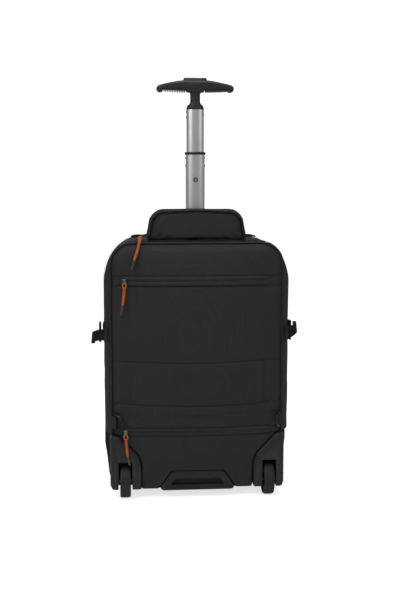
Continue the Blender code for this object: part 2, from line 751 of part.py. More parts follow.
def make_grip():
    """The T-shaped grip, its push button and the rod that the button drives."""
    right = [
        (0.0165, INNER_Z[1] + 0.0003, 0.0015),
        (0.0165, 0.7370, 0.004),
        (0.0093, 0.7450, 0.005),
        (0.0093, 0.7570, 0.004),
        (0.0340, 0.7588, 0.020),
        (0.0690, 0.7650, 0.004),
        (0.0725, 0.7720, 0.003),
        (0.0700, 0.7785, 0.005),
        (0.0420, 0.7828, 0.030),
        (0.0200, GRIP_TOP, 0.0),
    ]
    left = [(-x, z, radius) for x, z, radius in reversed(right)]
    grip = extruded([rounded(right + left)], POLE_Y - 0.0120, POLE_Y + 0.0120)
    add(grip, "grip", GRIP)
    pocket = extruded([tube_outline(0.0450, 0.0150)], 0.7690, 0.8000, "Z")
    boolean(grip, add(pocket, "button_pocket"))
    boolean(grip, add(rod(0.0028, 0.06, (0.0, POLE_Y, 0.750), "Z", 16), "rod_hole"))
    button = extruded([tube_outline(0.0440, 0.0140)], 0.7740, 0.7900, "Z")
    add(button, "push_button", GRIP)
    bevel(button, 0.0020, 2, 60.0)
    low = LOCK_Z + 0.010
    push = rod(0.0018, 0.7736 - low, (0.0, POLE_Y, (0.7736 + low) / 2), "Z", 12)
    add(push, "push_rod", STEEL)


def make_hood():
    """The padded bumper on top that shields the stowed grip."""
    sections = (
        (-0.0780, 0.0850, 0.5405, 0.4890, 0.024),
        (-0.0735, 0.0900, 0.5455, 0.4902, 0.027),
        (-0.0670, 0.0920, 0.5480, 0.4920, 0.028),
        (-0.0590, 0.0900, 0.5460, 0.4932, 0.027),
    )
    rings = []
    for y, half, top, low, radius in sections:
        corners = [
            (-half, low, 0.003),
            (half, low, 0.003),
            (half - 0.006, top, radius),
            (0.006 - half, top, radius),
        ]
        rings.append((y, rounded(corners, 6)))
    add(loft(rings), "top_hood", FABRIC)


def make_carry_handle():
    """The webbing carry handle, which arches over the top behind the trolley handle."""
    half, top, corner_x, corner_z = body_section(0.008)

    def bag_top(x):
        across = max(0.0, abs(x) - (half - corner_x)) / corner_x
        return top - corner_z + corner_z * math.sqrt(1.0 - across**2)

    lower = []
    for k in range(25):
        x = 0.122 * (2 * k / 24 - 1)
        ramp = min(max((0.104 - abs(x)) / 0.050, 0.0), 1.0)
        rise = 0.021 * ramp**2 * (3 - 2 * ramp)
        lower.append((x, bag_top(x) + GAP + rise))
    upper = [(x, z + 0.003) for x, z in reversed(lower)]
    add(extruded([lower + upper], -0.007, 0.023), "carry_handle", WEBBING)


def make_straps():
    """Shoulder straps stowed behind the cover, and the compression straps round the sides."""
    for side, word in ((-1, "left"), (1, "right")):
        corners = [
            (0.034, 0.176, 0.006),
            (0.060, 0.176, 0.006),
            (0.108, 0.240, 0.030),
            (0.108, 0.400, 0.040),
            (0.096, 0.468, 0.020),
            (0.036, 0.468, 0.020),
            (0.048, 0.380, 0.040),
            (0.048, 0.250, 0.030),
        ]
        strap = extruded([for_side(rounded(corners), side)], -0.0790, -0.0670)
        add(strap, f"shoulder_strap_{word}", PADDING)
        bevel(strap, 0.003, 1, 60.0)

        inner, outer = [], []
        reach = 0.198 if side < 0 else 0.194
        for y in (-0.0800, -0.0780, -0.0700, *TAIL_Y, -0.0580, 0.0000, 0.0450, 0.0520):
            x = body_section(y)[0] + GAP
            inner.append((x, y))
            outer.append((x + 0.0018, y))
        outer[3:5] = [outer[3], *((reach, y) for y in TAIL_Y), outer[4]]
        strip = extruded([for_side(inner[::-1] + outer, side)], *STRAP_Z, "Z")
        add(strip, f"side_strap_{word}", WEBBING)

        x = side * 0.1815
        frame = block((x - 0.0030, -0.0610, 0.2960), (x + 0.0030, -0.0440, 0.3320))
        slot = block((x - 0.0100, -0.0570, 0.3000), (x + 0.0100, -0.0480, 0.3250))
        add(frame, f"ladder_lock_{word}", MOULDED)
        boolean(frame, add(slot, f"lock_slot_{word}"))


def make_rings():
    """The D-rings at the foot of the cover, each lying at its own angle, and their tabs."""
    x, y = RING_HINGE
    low, high = RING_Z
    radius = (high - low) / 2
    for side, word, lean in ((-1, "left", 30.0), (1, "right", 62.0)):
        points = [Vector((0.0, 0.0, low)), Vector((0.0, 0.0, high))]
        for k in range(1, 12):
            angle = math.radians(90 - 180 * k / 12)
            points.append(
                Vector((RING_REACH * math.cos(angle), 0.0, low + radius + radius * math.sin(angle)))
            )
        ring = wire(points, RING_WIRE, 2, True)
        turn = Matrix.Rotation(math.radians(-lean), 4, "Z")
        if side > 0:
            turn = Matrix.Rotation(math.radians(180 + lean), 4, "Z")
        pivot = Vector((side * x, y, 0.0))
        ring.matrix_world = Matrix.Translation(pivot) @ turn
        add(ring, f"d_ring_{word}", DARK_METAL, (side * x, y, low + radius))
        near, far = side * (x + RING_WIRE + 0.0006), side * (x + 0.0085)
        tab = block((min(near, far), -0.1005, 0.1370), (max(near, far), -0.0950, 0.1630))
        add(tab, f"d_ring_tab_{word}", WEBBING)


def hollow_shell(name, sections, finish, pivot, back):
    """A shallow tray with a hollow open to the back, from sections with their own floors."""
    outer = []
    for y, half, top, floor, corner_x, corner_z in sections:
        outer.append((y, bag_outline(half, top, corner_x, corner_z, 0.0, floor)))
    inner = [(back, bag_outline(*sections[0][1:3], *sections[0][4:6], -WALL, sections[0][3]))]
    for y, half, top, floor, corner_x, corner_z in sections[1:]:
        outline = bag_outline(half, top, corner_x, corner_z, -WALL, floor)
        inner.append((y - WALL, outline))
    shell = add(loft(outer), name, finish, pivot)
    return boolean(shell, add(loft(inner), f"{name}_hollow"))


def make_front():
    """The front lid, its pocket, and the zip that closes the lid, with two sliders."""
    hollow_shell("front_lid", LID_SECTIONS, FABRIC, LID_PIVOT, 0.055)
    hollow_shell("front_pocket", POCKET_SECTIONS, FABRIC, LID_PIVOT, 0.085)
    path = bag_outline(*body_section(MAIN_ZIP_Y), grow=ZIP_STAND)
    track = wire([(x, MAIN_ZIP_Y, z) for x, z in path[4:-4]], COIL_RADIUS)
    add(track, "main_zip", COIL)
    for side, word in ((-1, "left"), (1, "right")):
        x, y, z = side * 0.012, MAIN_ZIP_Y, 0.4972
        slider_at(x, y, z, 0.0, f"main_zip_slider_{word}", DARK_METAL, True)
        tab = block((x - 0.0035, 0.0662, z - 0.0006), (x + 0.0035, 0.1020, z + 0.0019))
        add(tab, f"main_zip_puller_{word}", WEBBING, (x, y + 0.0050, z))
        bevel(tab, 0.0009, 1)


make_body()
make_base()
make_housings()
make_wheels()
make_kick_plate()
make_rear_panels()
make_edges()
make_zips()
make_handle()
make_hood()
make_carry_handle()
make_straps()
make_rings()
make_front()
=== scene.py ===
import math

import bmesh
import bpy
import numpy as np
from mathutils import Matrix, Vector, noise


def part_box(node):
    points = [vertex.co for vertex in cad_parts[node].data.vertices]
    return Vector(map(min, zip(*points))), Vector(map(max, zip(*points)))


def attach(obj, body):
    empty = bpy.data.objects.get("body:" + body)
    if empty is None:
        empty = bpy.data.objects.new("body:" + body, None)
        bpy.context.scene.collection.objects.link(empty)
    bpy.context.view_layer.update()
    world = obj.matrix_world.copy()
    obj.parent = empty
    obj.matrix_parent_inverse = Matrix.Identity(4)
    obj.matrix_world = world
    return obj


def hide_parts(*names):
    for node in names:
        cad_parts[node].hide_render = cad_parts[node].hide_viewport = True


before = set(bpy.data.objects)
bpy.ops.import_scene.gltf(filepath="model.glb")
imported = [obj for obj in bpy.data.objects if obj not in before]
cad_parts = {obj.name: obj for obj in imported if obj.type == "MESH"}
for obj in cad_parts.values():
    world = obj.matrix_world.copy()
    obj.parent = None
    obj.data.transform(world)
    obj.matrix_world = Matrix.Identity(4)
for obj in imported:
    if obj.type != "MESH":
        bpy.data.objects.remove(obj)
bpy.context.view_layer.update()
bpy.ops.object.select_all(action="DESELECT")

# ---- Studio ------------------------------------------------------------------------------
# The case is seen from behind, a little from its left and from just above its top. It stands on
# a pale floor that runs up into a pale wall, between large soft lamps.

bpy.ops.object.camera_add(
    location=(-0.1445, -1.8426, 0.5935), rotation=(math.radians(83.0), 0.0, math.radians(-4.7))
)
camera = bpy.context.object
camera.name = "camera"
camera.data.lens = 56.9
camera.data.sensor_width = 36.0
camera.data.shift_x = 0.005
bpy.context.scene.camera = camera


def lay(name, across, along, place):
    """A grid with a point for each pair of values of two lists, put where place(a, b) says.
    Its UV map holds the two values themselves."""
    bpy.ops.object.select_all(action="DESELECT")
    bpy.ops.mesh.primitive_grid_add(
        x_subdivisions=len(across) - 1, y_subdivisions=len(along) - 1, size=2.0
    )
    piece = bpy.context.object
    piece.name = piece.data.name = name
    count = len(across)
    for vert in piece.data.vertices:
        vert.co = place(across[vert.index % count], along[vert.index // count])
    layer = piece.data.uv_layers.active.data
    for loop in piece.data.loops:
        corner = loop.vertex_index
        layer[loop.index].uv = (across[corner % count], along[corner // count])
    return piece


def spread(low, high, count):
    """Evenly spaced values from low to high."""
    return [low + (high - low) * k / count for k in range(count + 1)]


def pick(piece):
    """Makes a piece the only selected object and the active one."""
    bpy.ops.object.select_all(action="DESELECT")
    bpy.context.view_layer.objects.active = piece
    piece.select_set(True)


def smooth(piece, angle=40.0):
    """Shades a piece smooth, and leaves edges sharper than the angle sharp."""
    pick(piece)
    bpy.ops.object.shade_smooth_by_angle(angle=math.radians(angle))


FLOOR_RUN = 4.5
FLOOR_TURN = 1.2


def studio_floor(across, run):
    """The floor, the turn at its back and the wall."""
    if run < FLOOR_RUN:
        return (across, run - 3.0, 0.0)
    turn = min((run - FLOOR_RUN) / FLOOR_TURN, 1.0) * math.pi / 2
    rise = max(run - FLOOR_RUN - FLOOR_TURN, 0.0)
    back = FLOOR_RUN - 3.0 + FLOOR_TURN * math.sin(turn)
    return (across, back, FLOOR_TURN * (1 - math.cos(turn)) + rise)


def glow_by_ray(tree, strength, others, camera_rays):
    """Gives a strength one value for camera rays and another for all other rays."""
    ray = tree.nodes.new("ShaderNodeLightPath")
    level = tree.nodes.new("ShaderNodeMapRange")
    level.inputs["To Min"].default_value = others
    level.inputs["To Max"].default_value = camera_rays
    tree.links.new(ray.outputs["Is Camera Ray"], level.inputs["Value"])
    tree.links.new(level.outputs[0], strength)


floor = lay("studio_floor", spread(-6.0, 6.0, 4), spread(0.0, 10.0, 100), studio_floor)
smooth(floor, 180.0)
floor_paint = bpy.data.materials.new("studio_white")
floor_paint.use_nodes = True
floor_shader = floor_paint.node_tree.nodes["Principled BSDF"]
floor_shader.inputs["Base Color"].default_value = (0.90, 0.90, 0.90, 1.0)
floor_shader.inputs["Roughness"].default_value = 0.9
floor_shader.inputs["Specular IOR Level"].default_value = 0.1
floor_shader.inputs["Emission Color"].default_value = (1.0, 1.0, 1.0, 1.0)
glow_by_ray(floor_paint.node_tree, floor_shader.inputs["Emission Strength"], 0.10, 0.72)
floor.data.materials.append(floor_paint)

world = bpy.data.worlds.new("studio")
bpy.context.scene.world = world
world.use_nodes = True
world.node_tree.nodes["Background"].inputs["Color"].default_value = (1.0, 1.0, 1.0, 1.0)
glow_by_ray(world.node_tree, world.node_tree.nodes["Background"].inputs["Strength"], 0.24, 1.0)
bpy.context.scene.view_settings.view_transform = "Standard"


def lamp(name, place, aim, size, power):
    """A large square lamp that points at aim."""
    bpy.ops.object.select_all(action="DESELECT")
    bpy.ops.object.light_add(type="AREA", location=place)
    light = bpy.context.object
    light.name = name
    light.data.energy = power
    light.data.size = size
    light.visible_camera = False
    light.rotation_euler = (Vector(aim) - Vector(place)).to_track_quat("-Z", "Y").to_euler()


lamp("lamp_left", (-0.9, -1.1, 1.3), (0, 0, 0.5), 0.9, 10.0)
lamp("lamp_right", (1.1, -1.1, 1.2), (0, 0, 0.5), 0.8, 4.0)
lamp("lamp_top", (0.0, -0.45, 1.75), (0, 0, 0.4), 1.0, 12.0)

# ---- Zip pulls ---------------------------------------------------------------------------
# Each rear zip has a gunmetal slider whose crown is painted paler as a painted highlight. A braided
# orange cord is looped through the crown's eye in a lark's head, and its two ends go into a moulded tip.

CORD_DIAMETER = 0.0048
TIP_LENGTH = 0.018
TIP_RADIUS = 0.0023
BRAID_PITCH = 0.0052  # length in which a strand goes once round the cord
BRAID_STRANDS = 8


def weld(piece, close_ends=False):
    """Merges a piece's doubled points, fills its ends if asked, and turns its faces outwards."""
    mesh = bmesh.new()
    mesh.from_mesh(piece.data)
    bmesh.ops.remove_doubles(mesh, verts=mesh.verts, dist=0.00001)
    if close_ends:
        rim = [edge for edge in mesh.edges if edge.is_boundary]
        bmesh.ops.holes_fill(mesh, edges=rim, sides=0)
    bmesh.ops.recalc_face_normals(mesh, faces=mesh.faces)
    mesh.to_mesh(piece.data)
    mesh.free()


def modify(piece, kind, **settings):
    """Adds one modifier to a piece and applies it."""
    pick(piece)
    step = piece.modifiers.new(kind.title(), kind)
    for name, value in settings.items():
        setattr(step, name, value)
    bpy.ops.object.modifier_apply(modifier=step.name)


def carve(piece, tool, operation="DIFFERENCE"):
    """Cuts a tool out of a piece, or joins it on, and removes the tool."""
    modify(piece, "BOOLEAN", operation=operation, object=tool)
    bpy.data.objects.remove(tool)


def unit_cube(name="cube", **settings):
    """A cube of unit size, or of the scale and at the location that its settings give."""
    bpy.ops.object.select_all(action="DESELECT")
    bpy.ops.mesh.primitive_cube_add(size=1.0, **settings)
    cube = bpy.context.object
    cube.name = cube.data.name = name
    return cube


def dress(piece, angle, paint, body, node_name=None):
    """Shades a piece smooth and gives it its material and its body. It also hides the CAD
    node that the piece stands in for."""
    smooth(piece, angle)
    piece.data.materials.append(paint)
    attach(piece, body)
    if node_name:
        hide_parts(node_name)


def smooth_path(points, count):
    """Points evenly along a smooth curve through the given ones."""
    points = [Vector(p) for p in points]
    ends = [points[0] * 2 - points[1], *points, points[-1] * 2 - points[-2]]
    fine = []
    for a, b, c, d in zip(ends, ends[1:], ends[2:], ends[3:]):
        for k in range(24):
            t = k / 24
            bend = (2 * a - 5 * b + 4 * c - d) * t + (3 * b - a - 3 * c + d) * t * t
            fine.append(b + ((c - a) + bend) * t / 2)
    fine.append(points[-1])
    walked = [0.0]
    for a, b in zip(fine, fine[1:]):
        walked.append(walked[-1] + (b - a).length)
    path = []
    for k in range(count):
        goal = walked[-1] * k / (count - 1)
        i = min(max(np.searchsorted(walked, goal), 1), len(fine) - 1)
        t = (goal - walked[i - 1]) / max(walked[i] - walked[i - 1], 1e-9)
        path.append(fine[i - 1].lerp(fine[i], t))
    return path


def tube(name, path, radius, sides=16, closed=False, closed_ends=True):
    """A tube along a path. Its radius is a number, or a function of the angle round it and the
    distance along it. Its UV map holds that angle and distance."""
    path = [Vector(p) for p in path]
    last = len(path) - 1
    walked, side, frames = [0.0], None, []
    for k, point in enumerate(path):
        if k:
            walked.append(walked[-1] + (point - path[k - 1]).length)
        before = path[k - 1] if k or closed else point
        tangent = (path[(k + 1) % len(path) if closed else min(k + 1, last)] - before).normalized()
        side = side or tangent.orthogonal()
        side = (side - tangent * side.dot(tangent)).normalized()
        frames.append((side, tangent.cross(side)))
    if closed:
        walked.append(walked[-1] + (path[0] - path[-1]).length)
        path.append(path[0])
        frames.append(frames[0])
    row = {distance: k for k, distance in enumerate(walked)}

    def place(angle, distance):
        one, other = frames[row[distance]]
        reach = radius(angle, distance) if callable(radius) else radius
        return path[row[distance]] + (one * math.cos(angle) + other * math.sin(angle)) * reach

    piece = lay(name, spread(0.0, 2 * math.pi, sides), walked, place)
    weld(piece, close_ends=closed_ends and not closed)
    return piece


def node(tree, kind, links=None, **settings):
    """Adds a shader node. Each link gives a socket a number, a colour or another node's output."""
    made = tree.nodes.new("ShaderNode" + kind)
    for name, value in settings.items():
        setattr(made, name, value)
    for socket, value in (links or {}).items():
        if isinstance(value, bpy.types.NodeSocket):
            tree.links.new(value, made.inputs[socket])
        else:
            made.inputs[socket].default_value = value
    return made


def maths(tree, operation, *values):
    """The result of a sum on one or two values."""
    return node(tree, "Math", dict(enumerate(values)), operation=operation).outputs[0]


def ranged(tree, value, low, high, first=0.0, last=1.0):
    """A value that goes from low to high as another one goes from first to last."""
    limits = {"Value": value, "From Min": first, "From Max": last, "To Min": low, "To Max": high}
    return node(tree, "MapRange", limits).outputs[0]


def clouds(tree, vector, scale, detail=2.0):
    """Noise of a scale."""
    return node(tree, "TexNoise", {"Vector": vector, "Scale": scale, "Detail": detail}).outputs[0]


def effect(name, *numbers):
    """A new shader node group that turns a place, a colour and some numbers into a colour, a
    roughness and a height. Gives the group, its input sockets and its output node."""
    group = bpy.data.node_groups.new(name, "ShaderNodeTree")
    given = {"Vector": "Vector", "Colour": "Color"} | {label: "Float" for label in numbers}
    for label, kind in given.items():
        group.interface.new_socket(label, in_out="INPUT", socket_type="NodeSocket" + kind)
    for label, kind in (("Colour", "Color"), ("Roughness", "Float"), ("Height", "Float")):
        group.interface.new_socket(label, in_out="OUTPUT", socket_type="NodeSocket" + kind)
    return group, group.nodes.new("NodeGroupInput").outputs, group.nodes.new("NodeGroupOutput")


def close_effect(tree, start, end, brightness, rough, height):
    """Links what an effect has worked out to its outputs. The brightness scales its colour."""
    scaled = node(tree, "VectorMath", {0: start["Colour"], "Scale": brightness}, operation="SCALE")
    tree.links.new(scaled.outputs["Vector"], end.inputs["Colour"])
    tree.links.new(rough, end.inputs["Roughness"])
    tree.links.new(height, end.inputs["Height"])


def finish_with(name, group, values, depth, vector="Object", **shader_values):
    """A material whose colour, roughness and relief come from an effect group. The other
    sockets of its shader are set to the values given by name."""
    paint = bpy.data.materials.new(name)
    paint.use_nodes = True
    tree = paint.node_tree
    shader = tree.nodes["Principled BSDF"]
    for label, value in shader_values.items():
        shader.inputs[label.replace("_", " ")].default_value = value
    place = node(tree, "TexCoord")
    cover = node(tree, "Group", node_tree=group)
    tree.links.new(place.outputs[vector], cover.inputs["Vector"])
    for label, value in values.items():
        cover.inputs[label].default_value = value
    relief = node(tree, "Bump", {"Height": cover.outputs["Height"], "Distance": depth})
    tree.links.new(cover.outputs["Colour"], shader.inputs["Base Color"])
    tree.links.new(cover.outputs["Roughness"], shader.inputs["Roughness"])
    tree.links.new(relief.outputs["Normal"], shader.inputs["Normal"])
    return paint


# Moulded surfaces: a fine spark-eroded grain, slow changes of tone, and paler rubbed edges.
grain, start, end = effect("moulded_grain", "Grain", "Rough", "Rub")
fine = clouds(grain, start["Vector"], start["Grain"])
slow = clouds(grain, start["Vector"], 30.0, 4.0)
sharp = node(grain, "NewGeometry")
edge = ranged(grain, sharp.outputs["Pointiness"], 0.0, 1.0, 0.52, 0.62)
rubbed = maths(grain, "MULTIPLY", maths(grain, "MULTIPLY", edge, slow), start["Rub"])
both = maths(grain, "MULTIPLY", ranged(grain, slow, 0.82, 1.18), ranged(grain, fine, 0.80, 1.20))
lit = maths(grain, "ADD", both, rubbed)
rough = maths(grain, "ADD", start["Rough"], ranged(grain, slow, -0.06, 0.06))
close_effect(grain, start, end, lit, rough, fine)

# Braid: strands that cross over and under each other round a cord.
braid, start, end = effect("braid", "Pitch", "Strands")
parts = node(braid, "SeparateXYZ", {0: start["Vector"]}).outputs
twist = maths(braid, "MULTIPLY", maths(braid, "DIVIDE", parts["Y"], start["Pitch"]), 2 * math.pi)
crossings = []
for way in ("ADD", "SUBTRACT"):
    many = maths(braid, "MULTIPLY", maths(braid, way, parts["X"], twist), start["Strands"])
    crossings.append(maths(braid, "SINE", many))
over = maths(braid, "MAXIMUM", *crossings)
fuzz = clouds(braid, start["Vector"], 900.0, 3.0)
both = maths(braid, "MULTIPLY", ranged(braid, over, 0.55, 1.1, -1.0), ranged(braid, fuzz, 0.8, 1.25))
close_effect(braid, start, end, both, ranged(braid, fuzz, 0.68, 0.92), over)

orange_braid = finish_with(
    "orange_braid",
    braid,
    {"Colour": (0.42, 0.082, 0.013, 1.0), "Pitch": BRAID_PITCH, "Strands": BRAID_STRANDS / 2},
    0.00015,
    "UV",
    Sheen_Weight=0.15,
    Specular_IOR_Level=0.2,
)
tip_plastic = finish_with(
    "tip_plastic",
    grain,
    {"Colour": (0.030, 0.031, 0.033, 1.0), "Grain": 2600.0, "Rough": 0.36, "Rub": 0.8},
    0.00003,
    Specular_IOR_Level=0.5,
)
gunmetal = finish_with(
    "gunmetal",
    grain,
    {"Colour": (0.085, 0.084, 0.082, 1.0), "Grain": 1500.0, "Rough": 0.22, "Rub": 1.6},
    0.00001,
    Metallic=1.0,
)

PULLS = {
    "top_zip": [
        (-0.13522, -0.10688, 0.4095),
        (-0.13557, -0.10908, 0.4015),
        (-0.13697, -0.11008, 0.3855),
        (-0.13942, -0.11048, 0.3695),
        (-0.14222, -0.11048, 0.3540),
    ],
    "lower_zip": [
        (-0.13538, -0.10730, 0.1250),
        (-0.13503, -0.10950, 0.1170),
        (-0.13363, -0.11050, 0.1010),
        (-0.13118, -0.11090, 0.0850),
        (-0.12838, -0.11090, 0.0695),
    ],
    "cover_zip": [
        (-0.1055, -0.0867, 0.4950),
        (-0.1059, -0.0945, 0.4925),
        (-0.1075, -0.1010, 0.4860),
        (-0.1105, -0.1045, 0.4740),
        (-0.1165, -0.1080, 0.4560),
        (-0.1220, -0.1100, 0.4375),
    ],
}


def braided(angle, distance):
    """The radius of the cord, with its strands standing out of it."""
    twist = 2 * math.pi * distance / BRAID_PITCH
    one = math.sin((angle + twist) * BRAID_STRANDS / 2)
    other = math.sin((angle - twist) * BRAID_STRANDS / 2)
    return CORD_DIAMETER / 2 * (0.97 + 0.05 * max(one, other))


def tip_radius(_, distance):
    """The radius of a moulded tip: a collar at the cord, then a long taper to a rounded end."""
    share = distance / TIP_LENGTH
    end = math.sqrt(max(1.0 - max((share - 0.93) / 0.07, 0.0) ** 2, 0.02))
    start = 0.82 if share < 0.06 else 1.0
    return TIP_RADIUS * start * (1.0 - 0.16 * share) * end


for pull, route in PULLS.items():
    path = smooth_path(route, 90)
    walked = 0.0
    cut = len(path) - 1
    while walked < TIP_LENGTH:
        walked += (path[cut] - path[cut - 1]).length
        cut -= 1
    eye = 12  # the braid proper starts below the loop through the slider
    cord = tube(f"{pull}_pull_cord", path[eye : cut + 1], braided, 24)
    smooth(cord, 180.0)
    cord.data.materials.append(orange_braid)
    tip = tube(f"{pull}_pull_tip", smooth_path(path[cut:], 32), tip_radius, 20)
    smooth(tip, 50.0)
    tip.data.materials.append(tip_plastic)
    top = path[eye]
    away = (path[0] - path[eye]).normalized()
    loop_points = []
    for k in range(40):
        turn = 2 * math.pi * k / 40
        along = (1 - math.cos(turn)) / 2
        wide = 0.0030 * math.sin(turn) * (0.45 + 0.55 * math.sin(math.pi * along) + 0.25 * along)
        loop_points.append(top + (path[0] - top) * along * 1.45 + Vector((wide, -0.0008 * along, 0)))
    loop = tube(f"{pull}_pull_loop", loop_points, 0.00125, 12, closed=True)
    knot_points = []
    for k in range(28):
        turn = 2 * math.pi * k / 28
        side = away.orthogonal().normalized()
        other = away.cross(side)
        knot_points.append(top + (side * math.cos(turn) + other * math.sin(turn)) * 0.0017 + away * 0.0012)
    knot = tube(f"{pull}_pull_knot", knot_points, 0.0012, 10, closed=True)
    for part in (loop, knot):
        smooth(part, 180.0)
        part.data.materials.append(orange_braid)
    body = f"{pull}_pull"
    for part in (cord, tip, loop, knot):
        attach(part, body)
    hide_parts(f"{pull}_cord")
    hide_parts(f"{pull}_tip")

# ---- Bag body ----------------------------------------------------------------------------
# The bag's walls are one band of padded, coated polyester, sewn to the rear frame and to the
# front lid's zip tape. A partition keeps the shoulder straps out of the main compartment.

BODY_FLOOR = 0.0173
TAPER_TOP = 0.095  # the sides lean in below this height
TAPER = 0.0075
FOOT_RADIUS = 0.020
RIGHT_FULLNESS = 0.0035
NOTCH = (0.1056, -0.0356, 0.1244)  # room for the wheel housings: inner X, front Y, top Z
BODY_SECTIONS = (
    (-0.084, 0.160, 0.4858, 0.042, 0.045),
    (-0.078, 0.1665, 0.4868, 0.050, 0.056),
    (-0.070, 0.171, 0.4890, 0.060, 0.068),
    (-0.058, 0.1745, 0.4925, 0.070, 0.084),
    (0.000, 0.176, 0.493, 0.076, 0.092),
    (0.045, 0.175, 0.4925, 0.074, 0.090),
    (0.062, 0.1725, 0.4905, 0.070, 0.084),
)

# Coated cloth: a fine plain weave under a matte film, with slow changes of tone.
weave, start, end = effect("plain_weave", "Threads", "Mottle", "Rough")
parts = node(weave, "SeparateXYZ", {0: start["Vector"]}).outputs
waves = []
for axis in "XYZ":
    waves.append(maths(weave, "SINE", maths(weave, "MULTIPLY", parts[axis], start["Threads"])))
thread = maths(weave, "ADD", maths(weave, "ADD", waves[0], waves[1]), waves[2])
slow = clouds(weave, start["Vector"], 16.0, 5.0)
fuzz = clouds(weave, start["Vector"], 1400.0)
patch = maths(weave, "MULTIPLY", maths(weave, "SUBTRACT", slow, 0.5), start["Mottle"])
line = ranged(weave, thread, 0.82, 1.18, -3.0, 3.0)
both = maths(weave, "MULTIPLY", line, ranged(weave, fuzz, 0.85, 1.15))
rough = maths(weave, "ADD", start["Rough"], maths(weave, "MULTIPLY", patch, 0.25))
close_effect(weave, start, end, maths(weave, "ADD", both, patch), rough, thread)

coated_cloth = finish_with(
    "coated_cloth",
    weave,
    {"Colour": (0.0150, 0.0150, 0.0154, 1.0), "Threads": 7400.0, "Mottle": 0.30, "Rough": 0.60},
    0.00005,
    Specular_IOR_Level=0.22,
)
lining_cloth = finish_with(
    "lining_cloth",
    weave,
    {"Colour": (0.055, 0.056, 0.060, 1.0), "Threads": 5200.0, "Mottle": 0.35, "Rough": 0.70},
    0.00004,
    Specular_IOR_Level=0.25,
    Sheen_Weight=0.1,
)
sewing_thread = finish_with(
    "sewing_thread",
    weave,
    {"Colour": (0.022, 0.022, 0.023, 1.0), "Threads": 16000.0, "Mottle": 0.2, "Rough": 0.62},
    0.00003,
    Specular_IOR_Level=0.3,
)


def body_section(y):
    """The bag's half width, top, corner width and corner height at a depth."""
    for near, far in zip(BODY_SECTIONS, BODY_SECTIONS[1:]):
        if y <= far[0]:
            t = (y - near[0]) / (far[0] - near[0])
            return [a + (b - a) * t for a, b in zip(near[1:], far[1:])]
    return list(BODY_SECTIONS[-1][1:])


def outline_point(station, section, floor=BODY_FLOOR, grow=0.0, notch=NOTCH):
    """A point of the bag's outline and its outward direction, in X and Z. Station runs from 0 at
    the bottom's middle to 8 at the top's middle, and is negative on the left side."""
    half, top, corner_x, corner_z = section
    half, top, floor = half + grow, top + grow, floor - grow
    foot, corner_x, corner_z = FOOT_RADIUS + grow, corner_x + grow, corner_z + grow
    foot_x, foot_z = half - TAPER - foot, floor + foot
    step = min(int(abs(station)), 7)
    t = abs(station) - step
    taper_low, taper_high = (foot_x + foot, foot_z), (half, TAPER_TOP)
    if step < 2:
        low, high = ((0.0, notch[0]), (notch[0], foot_x))[step]
        x, z, normal = low + (high - low) * t, floor, (0.0, -1.0)
    elif step == 2:
        angle = math.radians(90 * t - 90)
        normal = (math.cos(angle), math.sin(angle))
        x, z = foot_x + foot * normal[0], foot_z + foot * normal[1]
    elif step == 3:
        x = taper_low[0] + (taper_high[0] - taper_low[0]) * t
        z = taper_low[1] + (taper_high[1] - taper_low[1]) * t
        normal = (0.99, -0.15)
    elif step < 6:
        heights = (TAPER_TOP, notch[2], top - corner_z)
        x, z, normal = half, heights[step - 4] + (heights[step - 3] - heights[step - 4]) * t, (1.0, 0.0)
    elif step == 6:
        angle = math.radians(90 * t)
        x = half - corner_x + corner_x * math.cos(angle)
        z = top - corner_z + corner_z * math.sin(angle)
        normal = (math.cos(angle), math.sin(angle))
    else:
        x, z, normal = (half - corner_x) * (1 - t), top, (0.0, 1.0)
    side = -1.0 if station < 0 else 1.0
    return x * side, z, normal[0] * side, normal[1]


def stations(counts=(20, 8, 8, 20, 4, 64, 28, 24)):
    """Stations round the whole outline, with the given number of steps in each stretch."""
    right = [step + k / count for step, count in enumerate(counts) for k in range(count)] + [8.0]
    return [-s for s in reversed(right)][:-1] + [max(s, 1e-6) for s in right]


def pinch(distance, width, depth):
    """How far a sewn line pulls cloth in at a distance from it."""
    return depth * math.exp(-((distance / width) ** 2))


def ripple(x, y, z, size, depth):
    """Slow random waves in cloth, of a size, up to a depth."""
    return noise.noise(Vector((x, y, z)) / size) * depth


def fullness(side, y):
    """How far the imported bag's right side stands out at a depth."""
    if side < 0:
        return 0.0
    return RIGHT_FULLNESS * min(max((y + 0.084) / 0.026, 0.0), max((0.062 - y) / 0.030, 0.0), 1.0)


def bag_wall(station, y):
    """A point of the bag's outer wall, with the pull of its sewn lines and its soft waves."""
    section = body_section(y)
    x, z, out_x, out_z = outline_point(station, section)
    x += fullness(station, y) * max(out_x, 0.0)
    pull = pinch(y + 0.0715, 0.0016, 0.0010) + pinch(y - 0.0525, 0.0016, 0.0010)
    slack = 1.0 - min(abs(y + 0.011) / 0.065, 1.0) ** 2
    pull += slack * (0.0012 + ripple(x, y, z, 0.055, 0.0018) + ripple(z, x, y, 0.020, 0.0005))
    return Vector((x - out_x * pull, y, z - out_z * pull))


